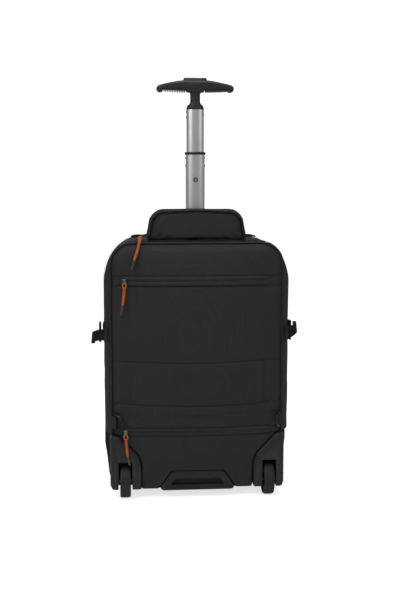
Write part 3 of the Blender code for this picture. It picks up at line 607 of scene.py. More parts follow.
depths = [-0.084, -0.0815, -0.079, -0.0765, -0.0745, -0.0730, -0.0722, -0.0715, -0.0708, -0.0700]
depths += spread(-0.068, -0.0356, 9) + spread(-0.032, 0.048, 22)
depths += [0.0505, 0.0517, 0.0525, 0.0533, 0.0545, 0.057, 0.0595, 0.062]
bag = lay("bag_wall", stations()[::-1], depths, bag_wall)
mesh = bmesh.new()
mesh.from_mesh(bag.data)
bmesh.ops.remove_doubles(mesh, verts=mesh.verts, dist=0.00001)
inside_notch = []
for face in mesh.faces:
    centre = face.calc_center_median()
    if abs(centre.x) > NOTCH[0] and centre.y < NOTCH[1] and centre.z < NOTCH[2]:
        inside_notch.append(face)
bmesh.ops.delete(mesh, geom=inside_notch, context="FACES")
mesh.to_mesh(bag.data)
mesh.free()
bag.data.materials.append(coated_cloth)
bag.data.materials.append(lining_cloth)
modify(bag, "SOLIDIFY", thickness=0.0033, offset=-1.0, material_offset=1)
smooth(bag, 50.0)
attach(bag, "root")
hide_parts("body_shell")


def outline_half(z, section, floor=BODY_FLOOR, grow=0.0):
    """Half the bag's width at a height."""
    half, top, corner_x, corner_z = section
    half, top, floor = half + grow, top + grow, floor - grow
    corner_x, corner_z, foot = corner_x + grow, corner_z + grow, FOOT_RADIUS + grow
    if z > top - corner_z:
        up = min((z - top + corner_z) / corner_z, 1.0)
        return half - corner_x + corner_x * math.sqrt(1.0 - up * up)
    if z < floor + foot:
        down = min((floor + foot - z) / foot, 1.0)
        return half - TAPER - foot + foot * math.sqrt(1.0 - down * down)
    return half - TAPER * max(TAPER_TOP - z, 0.0) / (TAPER_TOP - floor - foot)


NOTCH_LINE = [(y, NOTCH[2] + 0.0008) for y in spread(-0.0838, -0.0362, 10)]
NOTCH_LINE += [(-0.0354, z) for z in spread(NOTCH[2] - 0.0004, BODY_FLOOR + 0.0012, 30)]
for side, word in ((-1, "left"), (1, "right")):
    def notch_point(u, k):
        """A point of the cloth that closes the bag behind and above a wheel housing."""
        y, z = NOTCH_LINE[int(k)]
        half = outline_half(z, body_section(y), grow=-0.0012) + fullness(side, y)
        return Vector((side * (0.1085 + (half - 0.1085) * u), y, z))

    gusset = lay(f"bag_notch_{word}", spread(0.0, 1.0, 16), list(range(len(NOTCH_LINE))), notch_point)
    modify(gusset, "SOLIDIFY", thickness=0.0022, offset=0.0)
    dress(gusset, 50.0, coated_cloth, "root")

PARTITION_Y = -0.0618


def partition(u, z):
    """A point of the partition, which is notched at the wheel housings."""
    half = NOTCH[0] - 0.0006 if z < NOTCH[2] else outline_half(z, body_section(PARTITION_Y), grow=-0.0034)
    x = u * half
    return Vector((x, PARTITION_Y + ripple(x, 0.3, z, 0.06, 0.0007), z))


heights = spread(0.0210, 0.1240, 20) + [0.1248] + spread(0.128, 0.4860, 70) + [0.4880, 0.4888]
divider = lay("bag_partition", spread(-1.0, 1.0, 70), heights, partition)
modify(divider, "SOLIDIFY", thickness=0.0026, offset=-1.0)
dress(divider, 50.0, lining_cloth, "root")
shelf = lay(
    "strap_shelf",
    spread(-0.1040, 0.1040, 40),
    spread(-0.0835, -0.0625, 8),
    lambda x, y: Vector((x, y, 0.0632 + ripple(x, y, 0, 0.05, 0.0005))),
)
modify(shelf, "SOLIDIFY", thickness=0.0024, offset=-1.0)
dress(shelf, 50.0, lining_cloth, "root")

# ---- Stitching ---------------------------------------------------------------------------
# Lock-stitched lines in heavy bonded thread run beside every seam, about four stitches to the
# centimetre. Each stitch is a short raised bar that dives into the cloth at both ends.


def repeat(name, shape, places):
    """One mesh of copies of a small shape, one at each matrix. The shape itself is removed."""
    points = np.array([v.co for v in shape.data.vertices])
    faces = [list(face.vertices) for face in shape.data.polygons]
    all_points, all_faces = [], []
    for count, matrix in enumerate(places):
        turn = np.array(matrix)
        all_points.append(points @ turn[:3, :3].T + turn[:3, 3])
        all_faces += [[corner + count * len(points) for corner in face] for face in faces]
    bpy.data.objects.remove(shape)
    mesh = bpy.data.meshes.new(name)
    mesh.from_pydata(np.concatenate(all_points), [], all_faces)
    piece = bpy.data.objects.new(name, mesh)
    bpy.context.scene.collection.objects.link(piece)
    smooth(piece, 50.0)
    return piece


def track_places(path, outward, pitch, lift=0.0):
    """Matrices at a pitch along a path, with X along it and Z in the outward direction. Outward
    is one direction, or a function of a point."""
    path = [Vector(p) for p in path]
    places, left = [], pitch / 2
    for a, b in zip(path, path[1:]):
        run = (b - a).length
        if run < 1e-9:
            continue
        along = (b - a) / run
        while left < run:
            spot = a + along * left
            up = Vector(outward(spot) if callable(outward) else outward)
            up = (up - along * up.dot(along)).normalized()
            turn = Matrix((along, up.cross(along), up)).transposed().to_4x4()
            places.append(Matrix.Translation(spot + up * lift) @ turn)
            left += pitch
        left -= run
    return places


def bar_shape(length, width, height):
    """A small bar with rounded ends, lying along X, half sunk below Z = 0."""
    bpy.ops.object.select_all(action="DESELECT")
    bpy.ops.mesh.primitive_uv_sphere_add(segments=8, ring_count=6, radius=0.5)
    bar = bpy.context.object
    for vert in bar.data.vertices:
        x, y, z = vert.co
        vert.co = (z * length, x * width, -y * height)
    return bar


STITCH_PITCH = 0.0027


def stitch(name, paths, outward, body, width=0.00055):
    """Lines of stitching along some paths on one body."""
    places = []
    for path in paths:
        places += track_places(path, outward, STITCH_PITCH)
    line = repeat(name, bar_shape(STITCH_PITCH * 0.86, width, 0.0007), places)
    line.data.materials.append(sewing_thread)
    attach(line, body)
    return line


def wall_path(y, first=-7.999, last=7.999, count=320):
    """A line round the bag's wall at a depth."""
    return [bag_wall(s, y) for s in spread(first, last, count)]


def wall_outward(point):
    """The direction out of the bag's wall at a point."""
    return (point.x * 1.2, 0.0, (point.z - 0.255) * (1.0 if abs(point.z - 0.255) > 0.18 else 0.05))


upper = (4.95, 7.999)
side_lines = []
for y in (-0.0745, -0.0690):
    for side in (-1, 1):
        side_lines.append([bag_wall(side * s, y) for s in spread(*upper, 220)])
for y in (0.0500, 0.0548):
    side_lines.append(wall_path(y))
stitch("bag_wall_stitching", side_lines, wall_outward, "root")

# ---- Rear cover and lower panel ----------------------------------------------------------
# The rear is one padded panel of coated cloth over foam, rolled over at its edge. A seam splits it
# into the cover, which unzips and folds down over the stowed straps, and the fixed lower panel.

PANEL_HALF = 0.1583
PANEL_LOW = 0.0175
PANEL_TOP = 0.482
PANEL_CORNER = 0.038
PANEL_EDGE_Y = -0.0885
PANEL_THICK = 0.0035
PANEL_ROLL = 0.008
ROLL_WIDTH = 0.014
CROWN = 0.015
CROWN_HALF = 0.150
CROWN_Z = 0.250
CROWN_HEIGHT = 0.240
COVER_LOW = 0.1669
LOWER_TOP = 0.1661
BAND = (0.1855, 0.2660)  # the sewn band across the cover, at its ends
TOP_WELT = (0.4060, 0.4245)  # the zip's welts
TOP_CHAIN_Z = 0.4160
BAND_END = 0.126
LOWER_CHAIN_Z = 0.1310
LOWER_WELT = (0.1245, 0.1385)
KICK = (0.0750, 0.0160, 0.0495, 0.0550)  # kick plate: half width and height at its foot and top


def crown_scale(z):
    """How much of the crown the rear panel has at a height."""
    return max(0.0, 1.0 - ((z - CROWN_Z) / CROWN_HEIGHT) ** 4)


def panel_face(x, z):
    """The Y of the rear panel's outer face: a rolled edge, then a shallow crown."""
    middle, tall = (PANEL_LOW + PANEL_TOP) / 2, (PANEL_TOP - PANEL_LOW) / 2
    across = abs(x) - (PANEL_HALF - PANEL_CORNER)
    up = abs(z - middle) - (tall - PANEL_CORNER)
    outside = math.hypot(max(across, 0.0), max(up, 0.0)) + min(max(across, up), 0.0)
    depth = min(max(PANEL_CORNER - outside, 0.0) / ROLL_WIDTH, 1.0)
    roll = PANEL_ROLL * (1.0 - (1.0 - depth) ** 2)
    crown = CROWN * max(0.0, 1.0 - (x / CROWN_HALF) ** 2) * crown_scale(z)
    return PANEL_EDGE_Y - roll - crown


def bow(x, z):
    """How far a sewn line across the panel sags at a place: the band's seams curve down."""
    sag = np.interp(z, (0.1245, 0.140, BAND[0], BAND[1], 0.380), (0.0, 0.0, 0.0055, 0.0040, 0.0))
    return float(sag) * max(0.0, 1.0 - (x / 0.150) ** 2)


def within(value, low, high, soft=0.004):
    """1 between two values and 0 outside them, with a soft edge."""
    rise = min(max((value - low) / soft + 0.5, 0.0), 1.0)
    fall = min(max((high - value) / soft + 0.5, 0.0), 1.0)
    return rise * rise * (3 - 2 * rise) * fall * fall * (3 - 2 * fall)


def cover_relief(x, z):
    """How far sewing pulls the cover in, or foam puffs it out, before its lines are bowed."""
    pull = pinch(z - BAND[0], 0.0017, 0.0017) + pinch(z - BAND[1], 0.0017, 0.0017)
    pull += pinch(z - TOP_WELT[0], 0.0014, 0.0017) + pinch(z - TOP_WELT[1], 0.0012, 0.0013)
    band = within(z, *BAND, 0.006)
    pull += band * pinch(abs(x) - BAND_END, 0.0014, 0.0006)
    pull -= band * 0.0012 * math.sin(math.pi * min(max((z - BAND[0]) / (BAND[1] - BAND[0]), 0), 1))
    field = min(max((z - BAND[1]) / (TOP_WELT[0] - BAND[1]), 0), 1)
    pull -= 0.0012 * math.sin(math.pi * field)
    top = min(max((z - TOP_WELT[1]) / (PANEL_TOP - TOP_WELT[1]), 0), 1)
    pull -= 0.0008 * math.sin(math.pi * top)
    welt = within(z, *TOP_WELT, 0.003)
    run = within(x, -0.1375, 0.1330, 0.002)
    lips = max(1.0 - abs(z - 0.4206) / 0.0040, 0.0) + max(1.0 - abs(z - 0.4108) / 0.0046, 0.0)
    pull -= run * 0.0021 * math.sqrt(min(lips, 1.0))
    pull += run * pinch(z - TOP_CHAIN_Z, 0.0012, 0.0006)
    pull += welt * (pinch(x - 0.1400, 0.0012, 0.0010) + pinch(x + 0.1440, 0.0012, 0.0010))
    pull += ripple(x, 0.1, z, 0.090, 0.0013) + ripple(x, 0.7, z, 0.035, 0.00045)
    tug = pinch(z - BAND[0], 0.012, 1.0) + pinch(z - BAND[1], 0.012, 1.0)
    pull += tug * ripple(x * 2.2, 0.5, z, 0.020, 0.0005)
    return pull


def fine_rows(low, high, pitch, lines, offsets=(0.0004, 0.0010, 0.0018, 0.0030)):
    """Values at a pitch from low to high, with more beside each line."""
    rows = set(spread(low, high, round((high - low) / pitch)))
    for line in lines:
        rows |= {line} | {line + side * offset for side in (-1, 1) for offset in offsets}
    rows = sorted(row for row in rows if low <= row <= high)
    kept = [rows[0]]
    for row in rows[1:]:
        if row - kept[-1] > 0.00030 or row == high:
            kept.append(row)
    return kept


def cover_half(z):
    """Half the cover's width at a height."""
    up = max(z - (PANEL_TOP - PANEL_CORNER), 0.0)
    return PANEL_HALF - PANEL_CORNER + math.sqrt(max(PANEL_CORNER**2 - up**2, 0.0))


def cover_point(u, z):
    """A point of the cover's outer face. u runs across it from -1 to 1."""
    x = u * cover_half(z)
    low = z - bow(x, z)
    return Vector((x, panel_face(x, low) + cover_relief(x, z), low))


lines = (-0.126, 0.126, -0.144, -0.1375, 0.133, 0.140, -PANEL_HALF, PANEL_HALF)
columns = [c / PANEL_HALF for c in fine_rows(-PANEL_HALF, PANEL_HALF, 0.0026, lines)]
lines = (*BAND, *TOP_WELT, TOP_CHAIN_Z, 0.4206, 0.4108, COVER_LOW)
rows = fine_rows(COVER_LOW, PANEL_TOP - PANEL_CORNER, 0.0030, lines)
rows += [PANEL_TOP - PANEL_CORNER * (1 - math.sin(math.radians(a))) for a in range(4, 91, 4)]
rows[-1] = PANEL_TOP - 0.00002
cover = lay("rear_cover_panel", columns, rows, cover_point)
cover.data.materials.append(coated_cloth)
cover.data.materials.append(lining_cloth)
modify(cover, "SOLIDIFY", thickness=PANEL_THICK, offset=-1.0, material_offset=1)
smooth(cover, 60.0)
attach(cover, "cover")
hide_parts("rear_cover")


def panel_outward(point):
    """The direction out of the rear panel at a point."""
    step = 0.001
    slope_x = (panel_face(point.x + step, point.z) - panel_face(point.x - step, point.z)) / 2 / step
    slope_z = (panel_face(point.x, point.z + step) - panel_face(point.x, point.z - step)) / 2 / step
    return (slope_x, -1.0, slope_z)


def across_cover(z, half=0.1560, x=None):
    """A line on the cover's face: across it at a height, or from one X to another."""
    low, high = x or (-half, half)
    return [cover_point(k / PANEL_HALF, z) for k in spread(low, high, 150)]


def on_cover(start, finish):
    """A straight line on the cover's face between two (x, z) points."""
    points = []
    for t in spread(0.0, 1.0, 60):
        x = start[0] + (finish[0] - start[0]) * t
        z = start[1] + (finish[1] - start[1]) * t
        points.append(cover_point(x / PANEL_HALF, z))
    return points


seams = [across_cover(BAND[0] - 0.0028), across_cover(BAND[1] + 0.0028)]
seams += [across_cover(TOP_WELT[0] - 0.0022), across_cover(TOP_WELT[1] + 0.0020)]
for side in (-1, 1):
    for offset in (0.0022, -0.0022):
        x = side * BAND_END + offset
        seams.append(on_cover((x, BAND[0] + 0.002), (x, BAND[1] - 0.002)))
stitch("rear_cover_stitching", seams, panel_outward, "cover")


def housing_edge(z):
    """How far out the lower panel goes beside the wheel housings at a height."""
    edge = np.interp(z, (0.068, 0.086, 0.1235), (0.1052, 0.1105, 0.1480))
    return PANEL_HALF if z > 0.1246 else float(edge)


def kick_depth(x, z):
    """How far inside the kick plate's outline a point is."""
    foot_half, foot_z, top_half, top_z = KICK
    lean = (foot_half - top_half) / (top_z - foot_z)
    side = (foot_half - lean * (z - foot_z) - abs(x)) / math.hypot(1.0, lean)
    return min(side, top_z - z)


def lower_point(u, z):
    """A point of the lower panel's outer face."""
    edge = housing_edge(z)
    x = u * edge
    pull = pinch(z - LOWER_WELT[0], 0.0015, 0.0018) + pinch(z - LOWER_WELT[1], 0.0013, 0.0013)
    run = within(x, -0.1375, 0.1375, 0.002)
    lips = max(1.0 - abs(z - 0.1352) / 0.0036, 0.0) + max(1.0 - abs(z - 0.1270) / 0.0036, 0.0)
    pull -= run * 0.0021 * math.sqrt(min(lips, 1.0))
    pull += ripple(x, 0.1, z, 0.070, 0.0012) + ripple(x, 0.7, z, 0.030, 0.0004)
    field = min(max((z - PANEL_LOW) / (LOWER_WELT[0] - PANEL_LOW), 0), 1)
    pull -= 0.0012 * math.sin(math.pi * field)
    if z < 0.1246:
        pull += 0.0030 * max(1.0 - (edge - abs(x)) / 0.004, 0.0) ** 2
    face = panel_face(x, z) + pull
    tuck = min(max((kick_depth(x, z) + 0.0012) / 0.0024, 0.0), 1.0)
    return Vector((x, face + (-0.0853 - face) * tuck, z))


columns = spread(-1.0, 1.0, 150)
lines = (*LOWER_WELT, LOWER_CHAIN_Z, 0.1352, 0.1270, 0.1242, 0.1250, LOWER_TOP, 0.055)
lower = lay("lower_panel", columns, fine_rows(PANEL_LOW, LOWER_TOP, 0.0018, lines), lower_point)
modify(lower, "SOLIDIFY", thickness=PANEL_THICK - 0.0008, offset=-1.0)
dress(lower, 60.0, coated_cloth, "root", "lower_back_panel")
low_seams = []
for z in (LOWER_WELT[0] - 0.0022, LOWER_WELT[1] + 0.0020, LOWER_TOP - 0.0040):
    edge_x = housing_edge(z)
    inside = [x for x in spread(-0.154, 0.154, 150) if abs(x) < edge_x - 0.002]
    low_seams.append([lower_point(x / edge_x, z) for x in inside])
stitch("lower_panel_stitching", low_seams, panel_outward, "root")

# ---- Piping and zip chains ---------------------------------------------------------------
# A corded piping of the same cloth is sewn round the panel. The zips are nylon coil: each tooth is
# a turn of monofilament, dyed black, on a woven tape.

coil_nylon = finish_with(
    "coil_nylon",
    grain,
    {"Colour": (0.020, 0.020, 0.021, 1.0), "Grain": 2000.0, "Rough": 0.34, "Rub": 1.0},
    0.00002,
    Specular_IOR_Level=0.5,
)
PIPING_RADIUS = 0.0024
PIPING_Y = -0.0869


def rim_path(low, out, y, steps=40):
    """Points up the left edge of the rear panel, over its top and down its right edge."""
    half, top, radius = PANEL_HALF + out, PANEL_TOP + out, PANEL_CORNER + out
    centre_x, centre_z = radius - half, top - radius
    left = [Vector((-half, y, z)) for z in spread(low, centre_z, 120)]
    for k in range(1, steps):
        angle = math.radians(180 - 90 * k / steps)
        left.append(Vector((centre_x + radius * math.cos(angle), y, centre_z + radius * math.sin(angle))))
    left += [Vector((x, y, top)) for x in spread(centre_x, 0.0, 50)]
    return left + [Vector((-p.x, p.y, p.z)) for p in reversed(left[:-1])]


def piping_radius(angle, distance):
    """The piping's cord under its cloth, a little uneven where it is sewn down."""
    return PIPING_RADIUS * (1.0 + 0.05 * noise.noise(Vector((distance * 90, angle, 0))))


piping = tube("rear_piping_cord", rim_path(COVER_LOW + 0.0004, 0.0028, PIPING_Y), piping_radius, 14)
dress(piping, 60.0, coated_cloth, "cover", "rear_piping")
for side, word in ((-1, "left"), (1, "right")):
    route = [Vector((side * (PANEL_HALF + 0.0028), PIPING_Y, z)) for z in spread(0.1232, 0.1660, 24)]
    foot = tube(f"lower_piping_{word}", route, piping_radius, 14)
    dress(foot, 60.0, coated_cloth, "root")


def chain(name, path, outward, body, node_name, width=0.0030, pitch=0.00155, lift=0.0009):
    """A zip's coil along a path, on its tape."""
    places = track_places(path, outward, pitch, lift)
    flip = Matrix.Rotation(math.radians(90), 4, "Z") @ Matrix.Rotation(math.radians(14), 4, "Z")
    teeth = repeat(name, bar_shape(width, 0.00105, 0.0012), [p @ flip for p in places])
    teeth.data.materials.append(coil_nylon)
    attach(teeth, body)
    if node_name:
        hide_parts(node_name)
    return teeth


top_track = [cover_point(x / PANEL_HALF, TOP_CHAIN_Z) for x in spread(-0.1372, 0.1325, 120)]
chain("top_zip_chain", top_track, panel_outward, "cover", "top_zip")
edge_x = housing_edge(LOWER_CHAIN_Z)
low_track = [lower_point(x / edge_x, LOWER_CHAIN_Z) for x in spread(-0.1372, 0.1372, 120)]
chain("lower_zip_chain", low_track, panel_outward, "root", "lower_zip")


def rim_track(y, first, last, count=400):
    """A line round the bag's outline, standing off its wall at a depth."""
    points = []
    for station in spread(first, last, count):
        x, z, _, _ = outline_point(station, body_section(y), grow=0.0020)
        points.append(Vector((x, y, z)))
    return points


COVER_ZIP_Y = -0.0815
MAIN_ZIP_Y = 0.0598
for side, word in ((-1, "left"), (1, "right")):
    low_station = 5.0 + (COVER_LOW - 0.1244) / (0.4315 - 0.1244)
    track = rim_track(COVER_ZIP_Y, side * low_station, side * 7.9999)
    node_name = "cover_zip" if side < 0 else None
    chain(f"cover_zip_chain_{word}", track, wall_outward, "root", node_name, 0.0028)
chain("main_zip_chain_left", rim_track(MAIN_ZIP_Y, -3.2, -7.9999), wall_outward, "root", "main_zip", 0.0028)
chain("main_zip_chain_right", rim_track(MAIN_ZIP_Y, 3.2, 7.9999), wall_outward, "root", None, 0.0028)

# ---- Top hood ----------------------------------------------------------------------------
# A foam-filled bumper on top shields the stowed grip. Its flat rear face is welted to a gusset, and
# it is sewn down to the bag's top.

HOOD_SECTIONS = (
    (-0.0785, 0.0905, 0.5425, 0.4835, 0.025),
    (-0.0735, 0.0965, 0.5485, 0.4870, 0.029),
    (-0.0670, 0.0988, 0.5510, 0.4895, 0.030),
    (-0.0590, 0.0965, 0.5490, 0.4918, 0.029),
)
HOOD_LEAN = 0.0058
HOOD_CROWN = 0.0022  # rise of its top towards the middle


def hood_outline(station, y, grow=0.0):
    """A point of the hood's outline at a depth. Station runs from 0 at the bottom's middle to 4
    at the top's middle, and is negative on the left side."""
    sections = np.array(HOOD_SECTIONS)
    half, top, low, radius = (float(np.interp(y, sections[:, 0], sections[:, k])) for k in (1, 2, 3, 4))
    half, top, low = half + grow, top + grow, low - grow
    step = min(int(abs(station)), 3)
    t = abs(station) - step
    if step == 0:
        x, z = half * t, low
    elif step == 1:
        x, z = half - HOOD_LEAN * t, low + (top - radius - low) * t
    elif step == 2:
        angle = math.radians(90 * t)
        x = half - HOOD_LEAN - radius + radius * math.cos(angle)
        z = top - radius + radius * math.sin(angle)
    else:
        x, z = (half - HOOD_LEAN - radius) * (1 - t), top + HOOD_CROWN * math.sin(math.pi / 2 * t) ** 2
    return Vector((x if station >= 0 else -x, y, z))


def hood_stations(count):
    """Stations all the way round the hood's outline."""
    right = [step + k / count for step in range(4) for k in range(count)] + [4.0]
    return [-s for s in reversed(right)][:-1] + [max(s, 1e-6) for s in right]


def puff(piece, voxel, pressure, cap, frames=20):
    """Fills a padded piece out with air as its cloth would, then caps how far a point moved."""
    modify(piece, "REMESH", mode="VOXEL", voxel_size=voxel)
    start = [v.co.copy() for v in piece.data.vertices]
    cloth = piece.modifiers.new("Cloth", "CLOTH")
    cloth.settings.use_pressure = True
    cloth.settings.uniform_pressure_force = pressure
    cloth.settings.effector_weights.gravity = 0.0
    cloth.settings.tension_stiffness = 20.0
    cloth.settings.bending_stiffness = 0.4
    for frame_number in range(1, frames + 1):
        bpy.context.scene.frame_set(frame_number)
    pick(piece)
    bpy.ops.object.modifier_apply(modifier="Cloth")
    bpy.context.scene.frame_set(1)
    for vert, old in zip(piece.data.vertices, start):
        move = vert.co - old
        if move.length > cap:
            vert.co = old + move * (cap / move.length)
    modify(piece, "SUBSURF", levels=1, render_levels=1)


HOOD_INSET = 0.0022
hood = lay(
    "hood_pad",
    hood_stations(12),
    spread(-0.0766, -0.0602, 6),
    lambda station, y: hood_outline(station, y, -HOOD_INSET),
)
weld(hood, close_ends=True)
puff(hood, 0.0042, 3.0, 0.0026)
for vert in hood.data.vertices:
    x, y, z = vert.co
    front = min(max((-0.068 - y) / 0.008, 0.0), 1.0)
    low = min(max((0.512 - z) / 0.022, 0.0), 1.0)
    crease = math.sin((abs(x) - 0.075) * 260 + (z - 0.49) * 420) * within(abs(x), 0.045, 0.082, 0.02)
    vert.co.y += front * (low * crease * 0.0007 + ripple(x, y, z, 0.045, 0.0012))
    welt = min(abs(y + 0.0762) / 0.0014, 1.0)
    vert.co.z -= (1 - welt) * 0.0008 if z > 0.53 else 0.0
dress(hood, 180.0, coated_cloth, "root", "top_hood")
# Painted shade: this near-black cloth stands in for the shadow in the crevice of the hood's seam.
edge_binding = finish_with(
    "edge_binding",
    weave,
    {"Colour": (0.0040, 0.0040, 0.0041, 1.0), "Threads": 9000.0, "Mottle": 0.2, "Rough": 0.75},
    0.00004,
    Specular_IOR_Level=0.12,
)
HOOD_WELT_Y = -0.0782
welt_path = [hood_outline(s, -0.0785, -0.0012) for s in spread(-3.9999, -1.0, 130)]
welt_path = [Vector((p.x, HOOD_WELT_Y, p.z)) for p in reversed(welt_path)]
welt_path += [Vector((-p.x, p.y, p.z)) for p in reversed(welt_path[:-1])]
# The welt is drawn in the near-black painted-shade cloth.
hood_welt = tube("hood_welt", welt_path, 0.0013, 10)
dress(hood_welt, 60.0, edge_binding, "root")
seam_path = [Vector((p.x * 0.962, -0.0789, (p.z - 0.49) * 0.935 + 0.4905)) for p in welt_path]
stitch("hood_stitching", [seam_path[6:-6]], (0.0, -1.0, 0.0), "root")

# ---- Trolley handle ----------------------------------------------------------------------
# Two oval tubes of drawn, satin-anodised aluminium slide in a guide fixed to the back board. The
# outer one ends in a moulded collar. A pin through its hole locks the inner one.

POLE_Y = -0.042
MID_TUBE = (0.0360, 0.0240, 0.3300, 0.6478)
INNER_TUBE = (0.0328, 0.0208, 0.4180, 0.7310)
TUBE_WALL = 0.0012
LOCK_Z = 0.601

brushed, start, end = effect("drawn_metal", "Streaks", "Rough")
long = node(brushed, "VectorMath", {0: start["Vector"], 1: (1.0, 1.0, 0.02)}, operation="MULTIPLY")
streak = clouds(brushed, long.outputs[0], start["Streaks"], 3.0)
haze = ranged(brushed, clouds(brushed, start["Vector"], 45.0), 0.95, 1.05)
both = maths(brushed, "MULTIPLY", ranged(brushed, streak, 0.90, 1.10), haze)
rough = maths(brushed, "ADD", start["Rough"], ranged(brushed, streak, -0.07, 0.07))
close_effect(brushed, start, end, both, rough, streak)

anodised = finish_with(
    "anodised_aluminium",
    brushed,
    {"Colour": (0.60, 0.60, 0.595, 1.0), "Streaks": 1800.0, "Rough": 0.38},
    0.00001,
    Metallic=1.0,
)
bright_steel = finish_with(
    "bright_steel",
    brushed,
    {"Colour": (0.55, 0.55, 0.56, 1.0), "Streaks": 900.0, "Rough": 0.28},
    0.00001,
    Metallic=1.0,
)
black_moulding = finish_with(
    "black_moulding",
    grain,
    {"Colour": (0.0120, 0.0120, 0.0122, 1.0), "Grain": 1500.0, "Rough": 0.48, "Rub": 1.2},
    0.00006,
    Specular_IOR_Level=0.26,
)


def oval(angle, width, depth, grow=0.0):
    """A point of a flat oval tube's outline, about its own centre."""
    half, deep = width / 2 + grow, depth / 2 + grow
    c, s = math.cos(angle), math.sin(angle)
    power = 0.86
    return math.copysign(abs(c) ** power, c) * half, math.copysign(abs(s) ** power, s) * deep


def oval_piece(name, width, depth, heights, bore=None, grow=None, around=72):
    """An upright oval tube on the handle's line. grow gives how far its outline stands out at a
    height. It has a bore, smaller by a wall, or is solid."""
    grow = grow or (lambda z: 0.0)

    def place(angle, z):
        x, y = oval(angle, width, depth, grow(z))
        return Vector((x, POLE_Y + y, z))

    piece = lay(name, spread(0.0, 2 * math.pi, around), heights, place)
    weld(piece, close_ends=bore is None)
    if bore is not None:
        modify(piece, "SOLIDIFY", thickness=bore, offset=-1.0, use_even_offset=True)
    return piece


def drill(piece, radius, depth, at, axis="Y", sides=32):
    """Cuts a round hole into a piece."""
    bpy.ops.object.select_all(action="DESELECT")
    turn = (math.pi / 2, 0, 0) if axis == "Y" else (0, math.pi / 2, 0)
    bpy.ops.mesh.primitive_cylinder_add(
        vertices=sides, radius=radius, depth=depth, location=at, rotation=turn
    )
    carve(piece, bpy.context.object)


for name, size, body, node_name in (
    ("outer_stage_tube", MID_TUBE, "mid_stage", "mid_tube"),
    ("inner_stage_tube", INNER_TUBE, "inner_stage", "inner_tube"),
):
    width, depth, low, high = size
    stage = oval_piece(name, width, depth, spread(low, high, 24), TUBE_WALL)
    radius = 0.0041 if body == "mid_stage" else 0.0030
    drill(stage, radius, 0.008, (0, POLE_Y - depth / 2, LOCK_Z))
    dress(stage, 35.0, anodised, body, node_name)

EYELET_RADIUS = 0.0039
EYELET_Y = POLE_Y - 0.0121
ring_path = []
for a in spread(0, 2 * math.pi, 36)[:-1]:
    ring_path.append(Vector((EYELET_RADIUS * math.cos(a), EYELET_Y, LOCK_Z + EYELET_RADIUS * math.sin(a))))
eyelet = tube("lock_hole_eyelet", ring_path, 0.00062, 10, closed=True)
dress(eyelet, 180.0, black_moulding, "mid_stage")


def rivet_shape(radius, height):
    """A domed rivet head along +Z."""
    bpy.ops.object.select_all(action="DESELECT")
    bpy.ops.mesh.primitive_uv_sphere_add(segments=20, ring_count=10, radius=1.0)
    head = bpy.context.object
    for vert in head.data.vertices:
        x, y, z = vert.co
        flat = math.copysign(abs(z) ** 1.4, z)
        vert.co = (x * radius, y * radius, flat * height)
    return head


def rivets(name, spots, body, radius=0.0022, height=0.0011):
    """Rivet heads that stand out of the handle's sides at some (side, height) places."""
    places = []
    for x, z in spots:
        turn = Matrix.Rotation(math.radians(90 if x > 0 else -90), 4, "Y")
        places.append(Matrix.Translation((x, POLE_Y, z)) @ turn)
    heads = repeat(name, rivet_shape(radius, height), places)
    heads.data.materials.append(black_moulding)
    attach(heads, body)


rivets("inner_stage_rivets", [(-0.0164, 0.7270), (-0.0164, 0.7170), (0.0164, 0.7220)], "inner_stage")
rivets("outer_stage_rivets", [(s * 0.0180, z) for s in (-1, 1) for z in (0.6420, 0.6270)], "mid_stage")


def rolled(low, high, roll):
    """How far a moulded ring stands out at a height: rounded over at both rims."""
    def grow(z):
        near = min(z - low, high - z, roll) / roll
        return -roll * (1 - math.sqrt(max(1 - (1 - near) ** 2, 0.0)))
    return grow


COLLAR_ROWS = (0.6479, 0.6481, 0.6485, 0.6491, 0.6503, 0.6515, 0.6520, 0.6524, 0.6526)
BEZEL_ROWS = spread(0.4934, 0.4976, 8)
collar_roll, bezel_roll = rolled(0.6479, 0.6526, 0.0012), rolled(0.4934, 0.4976, 0.0015)
collar = oval_piece("outer_stage_collar", 0.0394, 0.0272, COLLAR_ROWS, 0.0030, collar_roll)
bezel = oval_piece("guide_top_bezel", 0.0540, 0.0325, BEZEL_ROWS, 0.0036, bezel_roll)
for ring, body, node_name in ((collar, "mid_stage", "mid_collar"), (bezel, "root", "guide_bezel")):
    dress(ring, 45.0, black_moulding, body, node_name)

# ---- Grip --------------------------------------------------------------------------------
# The grip is a moulded crescent on a flared neck. Small ribs under it give hold, and the button in
# its top draws the lock pin.

GRIP_DEPTH = 0.0120
GRIP_LOW = (
    (0.0, 0.7620), (0.0130, 0.7621), (0.0160, 0.7628), (0.0176, 0.7660), (0.0596, 0.7674),
    (0.0612, 0.7636), (0.0630, 0.7625), (0.0684, 0.7627), (0.0712, 0.7650), (0.0724, 0.7690),
)
GRIP_HIGH = (
    (0.0, 0.7852), (0.0215, 0.7850), (0.0350, 0.7832), (0.0480, 0.7806),
    (0.0600, 0.7780), (0.0676, 0.7758), (0.0712, 0.7734), (0.0724, 0.7700),
)
RIB_PITCH = 0.00318
# Heights of the button's outline, close together where it rounds over.
BUTTON_ROWS = (0.7740, 0.7790, 0.7840, 0.7862, 0.7876, 0.7887, 0.7894, 0.7898, 0.7900)

grip_plastic = finish_with(
    "grip_plastic",
    grain,
    {"Colour": (0.0130, 0.0130, 0.0132, 1.0), "Grain": 1300.0, "Rough": 0.44, "Rub": 1.2},
    0.00008,
    Specular_IOR_Level=0.32,
)


